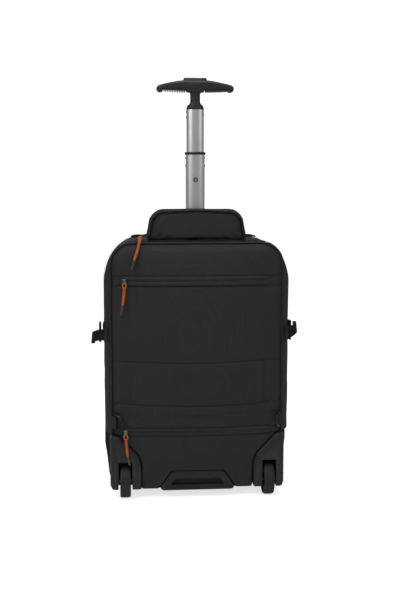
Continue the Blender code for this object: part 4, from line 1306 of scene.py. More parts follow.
def grip_point(angle, x):
    """A point of the crescent: a rounded bar whose lower edge rises towards its ends."""
    low = float(np.interp(abs(x), *zip(*GRIP_LOW)))
    high = float(np.interp(abs(x), *zip(*GRIP_HIGH)))
    thin = math.sqrt(max(1.0 - (max(abs(x) - 0.0620, 0.0) / 0.0106) ** 2.4, 0.0))
    c, s = math.cos(angle), math.sin(angle)
    deep = math.copysign(abs(c) ** 0.55, c) * GRIP_DEPTH * (0.35 + 0.65 * thin)
    tall = math.copysign(abs(s) ** 0.55, s)
    return Vector((x, POLE_Y + deep, (low + high) / 2 + tall * (high - low) / 2))


half_places = spread(0.0, 0.0150, 8) + spread(0.0158, 0.0180, 8) + spread(0.0190, 0.0590, 26)
half_places += spread(0.0594, 0.0634, 12) + spread(0.0645, 0.0690, 5) + spread(0.0696, 0.07239, 10)
places_x = [-x for x in reversed(half_places[1:])] + half_places
crescent = lay("grip_crescent", spread(0.0, 2 * math.pi, 48), places_x, grip_point)
weld(crescent, close_ends=True)
pocket = unit_cube("pocket", location=(0, POLE_Y, 0.7842), scale=(0.0456, 0.0156, 0.030))
modify(pocket, "BEVEL", width=0.0012, segments=3, limit_method="ANGLE")
carve(crescent, pocket)
dress(crescent, 40.0, grip_plastic, "inner_stage", "grip")

NECK = (  # height, half width and half depth
    (0.7313, 0.0165, 0.0104), (0.7335, 0.0165, 0.0104), (0.7339, 0.0158, 0.0100),
    (0.7368, 0.0156, 0.0098), (0.7385, 0.0140, 0.0096), (0.7425, 0.0102, 0.0092),
    (0.7455, 0.0093, 0.0088), (0.7560, 0.0093, 0.0088), (0.7605, 0.0098, 0.0094),
    (0.7625, 0.0112, 0.0100), (0.7640, 0.0140, 0.0104),
)


def neck_point(angle, z):
    """A point of the neck, which flares out to the tube that it plugs into."""
    levels = [row[0] for row in NECK]
    half = float(np.interp(z, levels, [row[1] for row in NECK]))
    deep = float(np.interp(z, levels, [row[2] for row in NECK]))
    x, y = oval(angle, half * 2, deep * 2)
    return Vector((x, POLE_Y + y, z))


neck_rows = fine_rows(0.7313, 0.7640, 0.0009, (0.7335, 0.7339, 0.7368))
neck = lay("grip_neck", spread(0.0, 2 * math.pi, 56), neck_rows, neck_point)
weld(neck, close_ends=True)
dress(neck, 35.0, black_moulding, "inner_stage")

teeth = []
for side in (-1, 1):
    for k in range(13):
        x = side * (0.0197 + RIB_PITCH * k)
        teeth.append(Matrix.Translation((x, POLE_Y, 0.7652 + 0.0018 * (abs(x) - 0.020) / 0.038)))
tooth = unit_cube()
for vert in tooth.data.vertices:
    flare, deep = (1.0, 0.0246) if vert.co.z > 0 else (0.55, 0.0205)
    vert.co = (vert.co.x * 0.0017 * flare, vert.co.y * deep, vert.co.z * 0.0066)
modify(tooth, "BEVEL", width=0.0006, segments=2)
ribs = repeat("grip_ribs", tooth, teeth)
ribs.data.materials.append(grip_plastic)
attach(ribs, "inner_stage")


def button_point(angle, z):
    """A point of the push button, with a rolled rim and a shallow dish in its top."""
    over = max(z - 0.7860, 0.0) / 0.0040
    x, y = oval(angle, 0.0440, 0.0140, -0.0040 * (1 - math.sqrt(max(1 - over * over, 0.0))))
    return Vector((x, POLE_Y + y, z - 0.0010 * max(1 - (x / 0.022) ** 2, 0) * (z > 0.7860)))


button = lay("grip_button", spread(0.0, 2 * math.pi, 56), BUTTON_ROWS, button_point)
weld(button, close_ends=True)
dress(button, 40.0, grip_plastic, "handle_button", "push_button")

# ---- Wheel housings ----------------------------------------------------------------------
# Each wheel is recessed in a moulded housing that wraps the bag's lower corner. Its free edge is
# rolled over, and a skirt behind the wheel keeps grit off the bag.

WHEEL_X = 0.1365
AXLE = (-0.080, 0.033)
WELL_RADIUS = 0.0400
WELL_HALF = 0.0131
WELL_TOP = 0.0732
HOUSING_Y = (-0.104, -0.036)
GUARD = ((-0.0160, 0.0100), (0.0160, 0.0100), (0.0160, 0.0300), (-0.0160, 0.0300))  # the skirt
HOUSING_OUTLINE = (
    (0.106, 0.0212, 0.004), (0.165, 0.0212, 0.009), (0.165, 0.124, 0.008),
    (0.149, 0.124, 0.015), (0.1115, 0.086, 0.022), (0.106, 0.070, 0.016),
)


def rounded(corners, steps=6):
    """An outline with each (x, z, radius) corner rounded by an arc."""
    points = []
    count = len(corners)
    for k in range(count):
        x, z, radius = corners[k]
        here = Vector((x, z))
        back = (Vector(corners[k - 1][:2]) - here).normalized()
        ahead = (Vector(corners[(k + 1) % count][:2]) - here).normalized()
        half_angle = math.acos(max(min(back.dot(ahead), 1.0), -1.0)) / 2
        run = radius / math.tan(half_angle)
        centre = here + (back + ahead).normalized() * (radius / math.sin(half_angle))
        first, last = here + back * run - centre, here + ahead * run - centre
        for j in range(steps + 1):
            t = j / steps
            swing = first.angle_signed(last)
            arm = first.copy()
            arm.rotate(Matrix.Rotation(-swing * t, 2))
            points.append(centre + arm)
    return points


def slab(name, outline, low, high):
    """A flat piece with an outline in X and Z, from one depth to another."""
    bpy.ops.object.select_all(action="DESELECT")
    bpy.ops.mesh.primitive_circle_add(vertices=len(outline), fill_type="NGON")
    piece = bpy.context.object
    piece.name = piece.data.name = name
    for vert, (x, z) in zip(piece.data.vertices, outline):
        vert.co = (x, low, z)
    bpy.ops.object.mode_set(mode="EDIT")
    bpy.ops.mesh.select_all(action="SELECT")
    bpy.ops.mesh.extrude_region_move(TRANSFORM_OT_translate={"value": (0, high - low, 0)})
    bpy.ops.mesh.select_all(action="SELECT")
    bpy.ops.mesh.normals_make_consistent(inside=False)
    bpy.ops.object.mode_set(mode="OBJECT")
    return piece


def edge_bevel(piece, width, segments, chosen):
    """Bevels the edges that chosen(middle, edge) picks."""
    mesh = bmesh.new()
    mesh.from_mesh(piece.data)
    picked = [e for e in mesh.edges if chosen((e.verts[0].co + e.verts[1].co) / 2, e)]
    bmesh.ops.bevel(mesh, geom=picked, offset=width, segments=segments, profile=0.5, affect="EDGES")
    mesh.to_mesh(piece.data)
    mesh.free()


def rear_rim(middle, edge):
    """The housing's rear edges, down to its foot."""
    return abs(middle.y - HOUSING_Y[0]) < 1e-5 and middle.z > 0.024


def mouth_top(middle, edge):
    """The edges that run fore and aft at the top of a wheel's opening."""
    return middle.z > WELL_TOP - 1e-5 and abs(edge.verts[0].co.y - edge.verts[1].co.y) > 0.01


for side, word in ((-1, "left"), (1, "right")):
    outline = rounded(HOUSING_OUTLINE)
    if side < 0:
        outline = [Vector((-p.x, p.y)) for p in reversed(outline)]
    housing = slab(f"wheel_housing_shell_{word}", outline, *HOUSING_Y)
    edge_bevel(housing, 0.0072, 6, rear_rim)
    bpy.ops.object.select_all(action="DESELECT")
    bpy.ops.mesh.primitive_cylinder_add(
        vertices=72, radius=WELL_RADIUS, depth=2 * WELL_HALF,
        location=(side * WHEEL_X, *AXLE), rotation=(0, math.pi / 2, 0),
    )
    carve(housing, bpy.context.object)
    place, size = (side * WHEEL_X, AXLE[0] - 0.03, WELL_TOP / 2), (2 * WELL_HALF, 0.06, WELL_TOP)
    mouth = unit_cube("mouth", location=place, scale=size)
    bpy.ops.object.transform_apply(location=True, rotation=True, scale=True)
    edge_bevel(mouth, 0.0026, 4, mouth_top)
    carve(housing, mouth)
    drill(housing, 0.0034, 0.044, (side * WHEEL_X, *AXLE), "X", 24)
    guard = slab("guard", [Vector((side * WHEEL_X + x, z)) for x, z in GUARD], -0.0420, -0.0385)
    modify(guard, "BEVEL", width=0.0008, segments=2)
    carve(housing, guard, "UNION")
    modify(housing, "BEVEL", width=0.0006, segments=2, limit_method="ANGLE", angle_limit=math.radians(38))
    dress(housing, 35.0, black_moulding, "root", f"wheel_housing_{word}")

# ---- Wheels ------------------------------------------------------------------------------
# Each wheel is a moulded rubber tyre on a five-spoked nylon hub, which turns on a steel axle.

tyre_rubber = finish_with(
    "tyre_rubber",
    grain,
    {"Colour": (0.0130, 0.0130, 0.0134, 1.0), "Grain": 900.0, "Rough": 0.62, "Rub": 1.6},
    0.00012,
    Specular_IOR_Level=0.26,
)
TYRE_PROFILE = (
    (0.0240, 0.0090), (0.0262, 0.0098), (0.0290, 0.0101), (0.0310, 0.0098), (0.0322, 0.0088),
    (0.0328, 0.0070), (0.0330, 0.0050), (0.0325, 0.0046), (0.0325, 0.0041), (0.0330, 0.0037),
    (0.0330, -0.0037), (0.0325, -0.0041), (0.0325, -0.0046), (0.0330, -0.0050), (0.0328, -0.0070),
    (0.0322, -0.0088), (0.0310, -0.0098), (0.0290, -0.0101), (0.0262, -0.0098), (0.0240, -0.0090),
    (0.0240, 0.0090),
)
HUB_PROFILE = (
    (0.0236, 0.0078), (0.0236, -0.0078), (0.0228, -0.0086), (0.0205, -0.0086), (0.0198, -0.0078),
    (0.0198, 0.0078), (0.0205, 0.0086), (0.0228, 0.0086), (0.0236, 0.0078),
)
BOSS_PROFILE = (
    (0.0034, 0.0104), (0.0062, 0.0104), (0.0070, 0.0096), (0.0078, 0.0060), (0.0078, -0.0060),
    (0.0070, -0.0096), (0.0062, -0.0104), (0.0034, -0.0104), (0.0034, 0.0104),
)


def turned(name, profile, centre, steps=72):
    """A ring turned about the axle from its (radius, X) profile."""
    def place(angle, index):
        radius, x = profile[int(index)]
        y, z = radius * math.cos(angle), radius * math.sin(angle)
        return Vector((centre[0] + x, centre[1] + y, centre[2] + z))

    piece = lay(name, spread(0.0, 2 * math.pi, steps), list(range(len(profile))), place)
    weld(piece)
    return piece


for side, word in ((-1, "left"), (1, "right")):
    centre = (side * WHEEL_X, *AXLE)
    tyre = turned(f"wheel_tyre_{word}", TYRE_PROFILE, centre)
    smooth(tyre, 38.0)
    tyre.data.materials.append(tyre_rubber)
    rim = turned(f"wheel_rim_{word}", HUB_PROFILE, centre)
    boss = turned(f"wheel_boss_{word}", BOSS_PROFILE, centre, 48)
    spoke = unit_cube()
    for vert in spoke.data.vertices:
        taper = 1.0 if vert.co.z < 0 else 0.75
        vert.co = (vert.co.x * 0.0100, vert.co.y * 0.0062 * taper, vert.co.z * 0.0140 + 0.0137)
    modify(spoke, "BEVEL", width=0.0009, segments=2)
    turns = [Matrix.Translation(centre) @ Matrix.Rotation(math.radians(72 * k), 4, "X") for k in range(5)]
    spokes = repeat(f"wheel_spokes_{word}", spoke, turns)
    body = f"wheel_{word}"
    for part in (tyre, rim, boss, spokes):
        if part is not tyre:
            smooth(part, 38.0)
            part.data.materials.append(black_moulding)
        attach(part, body)
    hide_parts(f"tyre_{word}")
    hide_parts(f"wheel_hub_{word}")

# ---- Kick plate --------------------------------------------------------------------------
# A moulded plate between the wheels takes knocks, with a raised rim and a recess for the fingers.

KICK_Y = (-0.1000, -0.0848)
CUTTER_Y = -0.11  # behind the plate's rear face
foot_half, foot_z, top_half, top_z = KICK


def four_sided(foot_half, foot_z, foot_radius, top_half, top_z, top_radius):
    """A rounded outline with its own half width, height and corner radius at foot and top."""
    foot = [(-foot_half, foot_z, foot_radius), (foot_half, foot_z, foot_radius)]
    return rounded(foot + [(top_half, top_z, top_radius), (-top_half, top_z, top_radius)])


plate_outline = four_sided(foot_half, foot_z, 0.006, top_half, top_z, 0.009)
plate = slab("kick_plate_shell", plate_outline, *KICK_Y)
edge_bevel(plate, 0.0024, 4, lambda middle, edge: abs(middle.y - KICK_Y[0]) < 1e-5)
recess_outline = four_sided(0.056, 0.0245, 0.004, 0.0455, 0.0405, 0.005)
recess = slab("recess_cutter", recess_outline, CUTTER_Y, -0.0890)
for vert in recess.data.vertices:
    if vert.co.y > -0.1:
        vert.co.x *= 0.90
        vert.co.z = 0.0320 + (vert.co.z - 0.0320) * 0.62
carve(plate, recess)
dish_outline = four_sided(0.0650, 0.0215, 0.004, 0.0470, 0.0500, 0.007)
dish = slab("dish_cutter", dish_outline, CUTTER_Y, -0.0988)
carve(plate, dish)
modify(plate, "BEVEL", width=0.0005, segments=2, limit_method="ANGLE", angle_limit=math.radians(35))
dress(plate, 35.0, black_moulding, "root", "kick_plate")

# ---- Zip sliders -------------------------------------------------------------------------
# Each slider is a die-cast body over the coil, with a raised crown whose eye holds the pull. The
# crown's paler metal colour is a painted highlight.

# Painted highlight: the crown's paler copy of the slider metal stands in for the bright arc of light on it.
polished_crown = finish_with(
    "polished_crown",
    grain,
    {"Colour": (0.16, 0.155, 0.15, 1.0), "Grain": 1500.0, "Rough": 0.24, "Rub": 1.2},
    0.00001,
    Metallic=1.0,
)


CROWN_ARCH = (
    (-0.0008, 0.0040), (-0.0024, 0.0034), (-0.0030, 0.0015),
    (-0.0030, -0.0015), (-0.0022, -0.0034), (-0.0006, -0.0040),
)


def slider_piece(name, node_name, body, turn, lay_flat=False):
    """A slider's body, with its waist and its arched crown, in the CAD slider's place."""
    low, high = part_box(node_name)
    centre = (low + high) / 2
    base = unit_cube()
    for vert in base.data.vertices:
        tail = 0.72 if vert.co.z < 0 else 1.0
        vert.co = (vert.co.x * 0.0080 * tail, vert.co.y * 0.0024, vert.co.z * 0.0100)
    modify(base, "BEVEL", width=0.0010, segments=3)
    crown = tube("crown", smooth_path([(0.0, *point) for point in CROWN_ARCH], 24), 0.00085, 10)
    for vert in crown.data.vertices:
        vert.co.x *= 1.9
    base.data.materials.append(gunmetal)
    # The crown gets the paler painted-highlight metal.
    crown.data.materials.append(polished_crown)
    bpy.ops.object.select_all(action="DESELECT")
    for part in (base, crown):
        part.select_set(True)
    bpy.context.view_layer.objects.active = base
    bpy.ops.object.join()
    tilt = Matrix.Rotation(math.radians(-90), 4, "X") if lay_flat else Matrix.Identity(4)
    base.data.transform(Matrix.Translation(centre) @ Matrix.Rotation(turn, 4, "Z") @ tilt)
    base.name = base.data.name = name
    smooth(base, 40.0)
    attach(base, body)
    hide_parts(node_name)
    return base


slider_piece("top_zip_slider_body", "top_zip_slider", "top_zip_runner", math.radians(-8.0))
slider_piece("lower_zip_slider_body", "lower_zip_slider", "lower_zip_runner", math.radians(-9.7))
slider_piece("cover_zip_slider_body", "cover_zip_slider", "cover_zip_runner", 0.0, True)
for word in ("left", "right"):
    name, node_name = f"main_zip_slider_body_{word}", f"main_zip_slider_{word}"
    slider_piece(name, node_name, f"main_runner_{word}", 0.0, True)

# ---- Webbing -----------------------------------------------------------------------------
# Straps, tabs and the carry handle are ribbed polyester webbing, with sewn bar tacks and folded,
# stitched ends.

ribbed, start, end = effect("ribbed_webbing", "Pitch", "Rough")
parts = node(ribbed, "SeparateXYZ", {0: start["Vector"]}).outputs
wide = maths(ribbed, "DIVIDE", parts["X"], start["Pitch"])
long = maths(ribbed, "DIVIDE", parts["Y"], start["Pitch"])
lean = maths(ribbed, "ADD", maths(ribbed, "PINGPONG", wide, 2.0), long)
ridge = maths(ribbed, "SINE", maths(ribbed, "MULTIPLY", lean, 2 * math.pi))
fuzz = clouds(ribbed, start["Vector"], 700.0, 3.0)
both = maths(ribbed, "MULTIPLY", ranged(ribbed, ridge, 0.65, 1.2, -1.0), ranged(ribbed, fuzz, 0.8, 1.2))
rough = maths(ribbed, "ADD", start["Rough"], ranged(ribbed, fuzz, -0.08, 0.08))
close_effect(ribbed, start, end, both, rough, ridge)

black_webbing = finish_with(
    "black_webbing",
    ribbed,
    {"Colour": (0.0085, 0.0085, 0.0090, 1.0), "Pitch": 0.0016, "Rough": 0.70},
    0.00022,
    "UV",
    Specular_IOR_Level=0.25,
)
WEB_THICK = 0.0016


def webbing(name, line, across, width, body, thick=WEB_THICK):
    """A strip of webbing whose middle follows a line. across(distance share) is the direction of
    its width."""
    line = [Vector(p) for p in line]
    walked = [0.0]
    for a, b in zip(line, line[1:]):
        walked.append(walked[-1] + (b - a).length)
    row = {distance: k for k, distance in enumerate(walked)}

    def place(wide, distance):
        k = row[distance]
        side = Vector(across(distance / walked[-1]) if callable(across) else across).normalized()
        return line[k] + side * wide

    piece = lay(name, spread(-width / 2, width / 2, 10), walked, place)
    modify(piece, "SOLIDIFY", thickness=thick, offset=0.0)
    sharp_edges = {"limit_method": "ANGLE", "angle_limit": math.radians(50)}
    modify(piece, "BEVEL", width=thick * 0.3, segments=2, **sharp_edges)
    dress(piece, 45.0, black_webbing, body)
    return piece


# Carry handle: webbing laid along the bag's top, which stands up in an arch at its middle.
HANDLE_MIDDLE_Y = 0.008
handle_section = body_section(HANDLE_MIDDLE_Y)


def bag_top(x):
    """The height of the bag's top at a distance from its middle."""
    half, top, corner_x, corner_z = handle_section
    out = max(0.0, abs(x) - (half - corner_x)) / corner_x
    return top - corner_z + corner_z * math.sqrt(1.0 - out**2)


handle_line = []
for x in spread(-0.1212, 0.1212, 110):
    ramp = min(max((0.104 - abs(x)) / 0.050, 0.0), 1.0)
    slump = 0.0035 * math.sin(math.pi * min(max((0.112 - abs(x)) / 0.050, 0.0), 1.0))
    handle_line.append((x, HANDLE_MIDDLE_Y, bag_top(x) + 0.0022 + 0.019 * ramp**2 * (3 - 2 * ramp) - slump))
carry = webbing("carry_handle_web", handle_line, (0, 1, 0), 0.028, "root", thick=0.0034)
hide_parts("carry_handle")
tacks = []
for side in (-1, 1):
    for x in (0.1185, 0.1080):
        tacks.append([(side * x, y, bag_top(x) + 0.0031) for y in spread(-0.004, 0.020, 8)])
    for y in (-0.003, 0.019):
        tacks.append([(side * x, y, bag_top(x) + 0.0031) for x in spread(0.108, 0.1185, 5)])
stitch("carry_handle_stitching", tacks, (0.0, 0.0, 1.0), "root", 0.0008)

# Side compression straps: each is sewn into the bag's edge, threads a ladder lock, and its loose
# tail stands out past the side, with its end folded over and sewn.
STRAP_Z = (0.299, 0.322)
STRAP_MIDDLE = (STRAP_Z[0] + STRAP_Z[1]) / 2
TAIL_Y = -0.0632
TAILS = {-1: (-0.1975, -0.0075), 1: (0.1935, 0.0085)}  # how far a tail reaches, and how it tilts
for side, word in ((-1, "left"), (1, "right")):
    reach, tilt = TAILS[side]
    wrap = []
    for y in spread(-0.0800, 0.0510, 70):
        wrap.append((side * (body_section(y)[0] + fullness(side, y) + 0.0011), y, STRAP_MIDDLE))
    belt = webbing(f"side_strap_web_{word}", wrap, (0, 0, 1), 0.0225, "root", thick=0.0014)
    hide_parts(f"side_strap_{word}")
    start_x = side * (body_section(TAIL_Y)[0] + fullness(side, TAIL_Y) + 0.0008)
    tail_line = []
    for t in spread(0.0, 1.0, 26):
        x, y = start_x + (reach - start_x) * t, TAIL_Y - 0.0006 * math.sin(math.pi * t)
        tail_line.append((x, y, STRAP_MIDDLE + tilt * t * t + 0.003 * t))
    tail = webbing(f"side_strap_tail_{word}", tail_line, (-0.10 * side, 0, 1), 0.0215, "root")
    end_x, end_z = reach - side * 0.0035, STRAP_MIDDLE + tilt + 0.003
    hem_line = []
    for t in spread(0.0, 1.0, 10):
        hem_line.append((end_x - side * 0.0042 + side * 0.0070 * t, TAIL_Y - 0.0016, end_z))
    webbing(f"side_strap_hem_{word}", hem_line, (-0.10 * side, 0, 1), 0.0222, "root", thick=0.0022)
    tack = [(end_x - side * 0.0030, TAIL_Y - 0.0029, end_z + d) for d in spread(-0.0095, 0.0095, 8)]
    stitch(f"side_strap_stitching_{word}", [tack], (0, -1, 0), "root", 0.0008)
    # The fabric patch that anchors the strap to the rear edge.
    patch_line = []
    for y in spread(-0.0790, -0.0665, 10):
        patch_line.append((side * (body_section(y)[0] + fullness(side, y) + 0.0022), y, 0.3120))
    patch = webbing(f"side_strap_patch_{word}", patch_line, (0, 0, 1), 0.0280, "root", thick=0.0012)
    patch.data.materials[0] = coated_cloth

    # Ladder lock: a moulded frame with two bars.
    x, low_z, high_z = side * 0.1815, 0.2960, 0.3340
    place, size = (x, -0.0525, (low_z + high_z) / 2), (0.0044, 0.0180, high_z - low_z)
    lock = unit_cube(f"ladder_lock_frame_{word}", location=place, scale=size)
    bpy.ops.object.transform_apply(location=True, rotation=True, scale=True)
    modify(lock, "BEVEL", width=0.0018, segments=4, limit_method="ANGLE")
    for middle_y, wide in ((-0.0560, 0.0042), (-0.0488, 0.0034)):
        place, size = (x, middle_y, STRAP_MIDDLE + 0.003), (0.02, wide, 0.0245)
        slot_cut = unit_cube("slot_cut", location=place, scale=size)
        bpy.ops.object.transform_apply(location=True, rotation=True, scale=True)
        modify(slot_cut, "BEVEL", width=0.0008, segments=2, limit_method="ANGLE")
        carve(lock, slot_cut)
    dress(lock, 40.0, black_moulding, "root", f"ladder_lock_{word}")

# ---- D-rings -----------------------------------------------------------------------------
# A cast D-ring hangs in a fabric tab on each side of the cover's foot, for the shoulder straps'
# lower ends to clip to.

RING_HINGE = (0.1555, -0.0975)
RING_Z = (0.1370, 0.1632)
RING_REACH = 0.0165
RING_WIRE = 0.00175
FOLD_RADIUS = 0.0034  # of the tab round the ring's bar
blackened_steel = finish_with(
    "blackened_steel",
    grain,
    {"Colour": (0.030, 0.029, 0.028, 1.0), "Grain": 1200.0, "Rough": 0.30, "Rub": 2.0},
    0.00001,
    Metallic=1.0,
)
for side, word, lean in ((-1, "left", 30.0), (1, "right", 62.0)):
    radius, middle_z = (RING_Z[1] - RING_Z[0]) / 2, (RING_Z[0] + RING_Z[1]) / 2
    turn = Matrix.Rotation(math.radians(-lean if side < 0 else 180 + lean), 4, "Z")
    place = Matrix.Translation((side * RING_HINGE[0], RING_HINGE[1], 0.0)) @ turn
    outline = [Vector((0.0, 0.0, z)) for z in spread(RING_Z[0], RING_Z[1], 12)]
    for k in range(1, 36):
        angle = math.radians(90 - 180 * k / 36)
        z = RING_Z[0] + radius + radius * math.sin(angle)
        outline.append(Vector((RING_REACH * math.cos(angle), 0.0, z)))
    ring = tube(f"d_ring_cast_{word}", [place @ p for p in outline], RING_WIRE, 14, closed=True)
    dress(ring, 180.0, blackened_steel, f"ring_{word}", f"d_ring_{word}")
    fold = []
    for a in spread(-100, 100, 20):
        angle = math.radians(a)
        x = side * (RING_HINGE[0] + 0.0006 - FOLD_RADIUS * math.cos(angle))
        fold.append((x, RING_HINGE[1] + FOLD_RADIUS * math.sin(angle), middle_z))
    end_x = side * (RING_HINGE[0] + 0.0085)
    ends = [(end_x, fold[0][1] + 0.0012, middle_z), (end_x, fold[-1][1] - 0.0012, middle_z)]
    tab_line = smooth_path([ends[0], *fold[2:-2:4], ends[1]], 36)
    tab = webbing(f"d_ring_tab_web_{word}", tab_line, (0, 0, 1), 0.0215, "root", thick=0.0013)
    tab.data.materials[0] = coated_cloth
    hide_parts(f"d_ring_tab_{word}")

# ---- Stowed shoulder straps --------------------------------------------------------------
# Two padded straps lie folded flat behind the cover. Their faces are spacer mesh over foam, with a
# bound edge and a strip of webbing sewn along the middle.

mesh_net, start, end = effect("spacer_mesh", "Cell", "Rough")
holes = {"Vector": start["Vector"], "Scale": start["Cell"], "Randomness": 0.35}
cells = node(mesh_net, "TexVoronoi", holes)
hole = ranged(mesh_net, cells.outputs["Distance"], 0.0, 1.0, 0.18, 0.38)
fuzz = clouds(mesh_net, start["Vector"], 1100.0)
both = maths(mesh_net, "MULTIPLY", ranged(mesh_net, hole, 0.25, 1.15), ranged(mesh_net, fuzz, 0.8, 1.2))
rough = maths(mesh_net, "ADD", start["Rough"], ranged(mesh_net, fuzz, -0.06, 0.06))
close_effect(mesh_net, start, end, both, rough, hole)
spacer_mesh = finish_with(
    "spacer_mesh",
    mesh_net,
    {"Colour": (0.022, 0.022, 0.023, 1.0), "Cell": 330.0, "Rough": 0.82},
    0.0005,
    Specular_IOR_Level=0.2,
    Sheen_Weight=0.1,
)
STRAP_OUTLINE = (
    (0.036, 0.178, 0.006), (0.060, 0.178, 0.006), (0.106, 0.240, 0.030), (0.106, 0.400, 0.040),
    (0.095, 0.466, 0.016), (0.038, 0.466, 0.016), (0.050, 0.380, 0.040), (0.050, 0.250, 0.030),
)
STRAP_Y = (-0.0778, -0.0682)
BAND_LINE = ((0.066, 0.455), (0.078, 0.400), (0.079, 0.310), (0.076, 0.240), (0.056, 0.196))
for side, word in ((-1, "left"), (1, "right")):
    outline = [Vector((side * p.x, p.y)) for p in rounded(STRAP_OUTLINE)]
    strap = slab(f"shoulder_strap_pad_{word}", outline, *STRAP_Y)
    puff(strap, 0.0045, 2.0, 0.0011)
    dress(strap, 180.0, spacer_mesh, "root", f"shoulder_strap_{word}")
    band_line = smooth_path([(side * x, -0.0795, z) for x, z in BAND_LINE], 60)
    webbing(f"shoulder_strap_band_{word}", band_line, (1, 0, 0), 0.020, "root", thick=0.0012)

# ---- Front lid and pocket ----------------------------------------------------------------
# The front opens as a lid of padded cloth, with a pocket of its own sewn on. The pocket has a
# slanted zip across its top.

LID_SECTIONS = (
    (0.0625, 0.1723, 0.490, 0.019, 0.070, 0.084),
    (0.078, 0.170, 0.487, 0.021, 0.068, 0.080),
    (0.087, 0.162, 0.479, 0.029, 0.062, 0.072),
    (0.092, 0.148, 0.465, 0.043, 0.052, 0.060),
)
POCKET_SECTIONS = (
    (0.0925, 0.130, 0.400, 0.075, 0.034, 0.034),
    (0.107, 0.128, 0.398, 0.077, 0.033, 0.033),
    (0.115, 0.114, 0.384, 0.091, 0.028, 0.028),
)


def tray(name, sections, wall, face_bulge, face_relief):
    """A shallow cloth tray: a side wall through its sections, closed by a puffed front face."""
    depths = [row[0] for row in sections]
    values = np.array(sections)

    def at(depth):
        return [float(np.interp(depth, values[:, 0], values[:, k])) for k in range(1, 6)]

    curve = []
    for low, high in zip(depths, depths[1:]):
        curve += spread(low, high, 6)[:-1]
    curve.append(depths[-1])
    inward = spread(1.0, 0.0, 36)[1:]

    def place(station, step):
        if step < len(curve):
            y, scale = curve[int(step)], 1.0
        else:
            y, scale = depths[-1], inward[int(step) - len(curve)]
        half, top, floor, corner_x, corner_z = at(y)
        section, breaks = (half, top, corner_x, corner_z), (half * 0.5, 0.0, 0.125)
        x, z, out_x, out_z = outline_point(-station, section, floor, 0.0, breaks)
        middle = (top + floor) / 2
        if scale < 1.0:
            x, z = x * scale, middle + (z - middle) * scale
            bulge = face_bulge * (1.0 - scale**3)
            return Vector((x, y + bulge + face_relief(x, z), z))
        soft = ripple(x, y, z, 0.05, 0.0009) * min((y - depths[0]) / 0.008, 1.0)
        return Vector((x - out_x * abs(soft), y, z - out_z * abs(soft)))

    piece = lay(name, stations(), list(range(len(curve) + len(inward))), place)
    weld(piece)
    mesh = bmesh.new()
    mesh.from_mesh(piece.data)
    if sum(f.normal.y * f.calc_area() for f in mesh.faces) < 0:
        bmesh.ops.reverse_faces(mesh, faces=mesh.faces)
    mesh.to_mesh(piece.data)
    mesh.free()
    modify(piece, "SOLIDIFY", thickness=wall, offset=-1.0, material_offset=1)
    return piece


def lid_relief(x, z):
    """Soft waves in the lid, and the seam round the pocket."""
    waves = ripple(x, 2.0, z, 0.080, 0.0014) + ripple(x, 2.7, z, 0.030, 0.0004)
    return waves - pinch(z - 0.432, 0.0016, 0.0012)


def pocket_relief(x, z):
    """Soft waves in the pocket, and the welts of its zip."""
    line = z - (0.352 + 0.02 * x)
    lips = max(1.0 - abs(abs(line) - 0.0045) / 0.0036, 0.0)
    inside = within(x, -0.098, 0.098, 0.003)
    pull = inside * 0.0016 * math.sqrt(lips) - pinch(abs(line) - 0.0095, 0.0013, 0.0012)
    return pull + ripple(x, 3.0, z, 0.075, 0.0016) + ripple(x, 3.6, z, 0.028, 0.0005)


lid = tray("front_lid_shell", LID_SECTIONS, 0.0033, 0.0020, lid_relief)
pocket = tray("front_pocket_shell", POCKET_SECTIONS, 0.0030, 0.0035, pocket_relief)
for panel, node_name in ((lid, "front_lid"), (pocket, "front_pocket")):
    panel.data.materials.append(coated_cloth)
    panel.data.materials.append(lining_cloth)
    smooth(panel, 55.0)
    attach(panel, "lid")
    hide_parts(node_name)


def pocket_face(x, z):
    """A point on the pocket's front face."""
    half, low, high = 0.114, 0.091, 0.384
    middle = (low + high) / 2
    scale = min(max(abs(x) / half, abs(z - middle) / (high - middle)), 1.0)
    return Vector((x, 0.115 + 0.0035 * (1 - scale**3) + pocket_relief(x, z), z))


pocket_track = [pocket_face(x, 0.352 + 0.02 * x) for x in spread(0.096, -0.096, 120)]
chain("pocket_zip_chain", pocket_track, (0, 1, 0), "lid", None)
pocket_seams = []
for offset in (-0.0118, 0.0118):
    pocket_seams.append([pocket_face(x, 0.352 + offset + 0.02 * x) for x in spread(0.104, -0.104, 120)])
stitch("front_pocket_stitching", pocket_seams, (0, 1, 0), "lid")
pocket_slider = unit_cube("pocket_zip_slider")
for vert in pocket_slider.data.vertices:
    vert.co = (0.091 + vert.co.x * 0.0100, 0.1192 + vert.co.y * 0.0030, 0.3538 + vert.co.z * 0.0078)
modify(pocket_slider, "BEVEL", width=0.0010, segments=3)
dress(pocket_slider, 40.0, gunmetal, "lid")

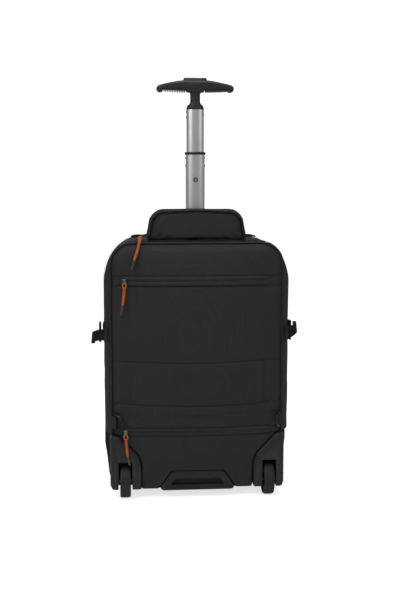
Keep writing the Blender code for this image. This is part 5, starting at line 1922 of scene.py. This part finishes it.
# Main zip pullers: folded webbing tabs with a moulded end.
for side, word in ((-1, "left"), (1, "right")):
    low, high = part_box(f"main_zip_puller_{word}")
    middle = (low + high) / 2
    line = [(middle.x, y, middle.z) for y in spread(low.y, high.y - 0.002, 20)]
    body = f"main_pull_{word}"
    puller = webbing(f"main_zip_pull_web_{word}", line, (1, 0, 0), 0.0070, body, thick=0.0018)
    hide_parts(f"main_zip_puller_{word}")
    end_cap = unit_cube(f"main_zip_pull_end_{word}")
    centre = Vector((middle.x, high.y - 0.0045, middle.z))
    for vert in end_cap.data.vertices:
        vert.co = centre + vert.co * Vector((0.0084, 0.0090, 0.0031))
    modify(end_cap, "BEVEL", width=0.0010, segments=3)
    dress(end_cap, 40.0, tip_plastic, f"main_pull_{word}")

# ---- Front feet --------------------------------------------------------------------------
# Two moulded feet hold the bag level with its wheels.
for word in ("left", "right"):
    low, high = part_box(f"front_foot_{word}")
    middle, size = (low + high) / 2, high - low
    foot = unit_cube(f"front_foot_shell_{word}")
    for vert in foot.data.vertices:
        draw = 0.86 if vert.co.z < 0 else 1.0
        vert.co = [middle[k] + vert.co[k] * size[k] * (draw if k < 2 else 1.0) for k in range(3)]
    edge_bevel(foot, 0.0050, 5, lambda at, edge: abs(edge.verts[0].co.z - edge.verts[1].co.z) > 0.005)
    modify(foot, "BEVEL", width=0.0018, segments=4, limit_method="ANGLE", angle_limit=math.radians(40))
    dress(foot, 35.0, black_moulding, "root", f"front_foot_{word}")

# ---- Working parts -----------------------------------------------------------------------
# The frame inside the bag keeps its CAD shapes: the beam and board, the handle's guide with its
# socket, bushes, rod and pin, and the axles.

board_stock = finish_with(
    "board_stock",
    grain,
    {"Colour": (0.045, 0.045, 0.047, 1.0), "Grain": 500.0, "Rough": 0.55, "Rub": 0.6},
    0.00010,
    Specular_IOR_Level=0.35,
)
WORKING_FINISHES = {
    "black_moulding": (black_moulding, ("base_beam", "guide_socket", "mid_bush", "inner_bush")),
    "anodised": (anodised, ("guide_tube",)),
    "steel": (bright_steel, ("push_rod", "inner_lock_pin")),
    "axle_steel": (blackened_steel, ("axle_left", "axle_right")),
    "board": (board_stock, ("back_board",)),
}
for paint, names in WORKING_FINISHES.values():
    for name in names:
        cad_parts[name].material_slots[0].material = paint
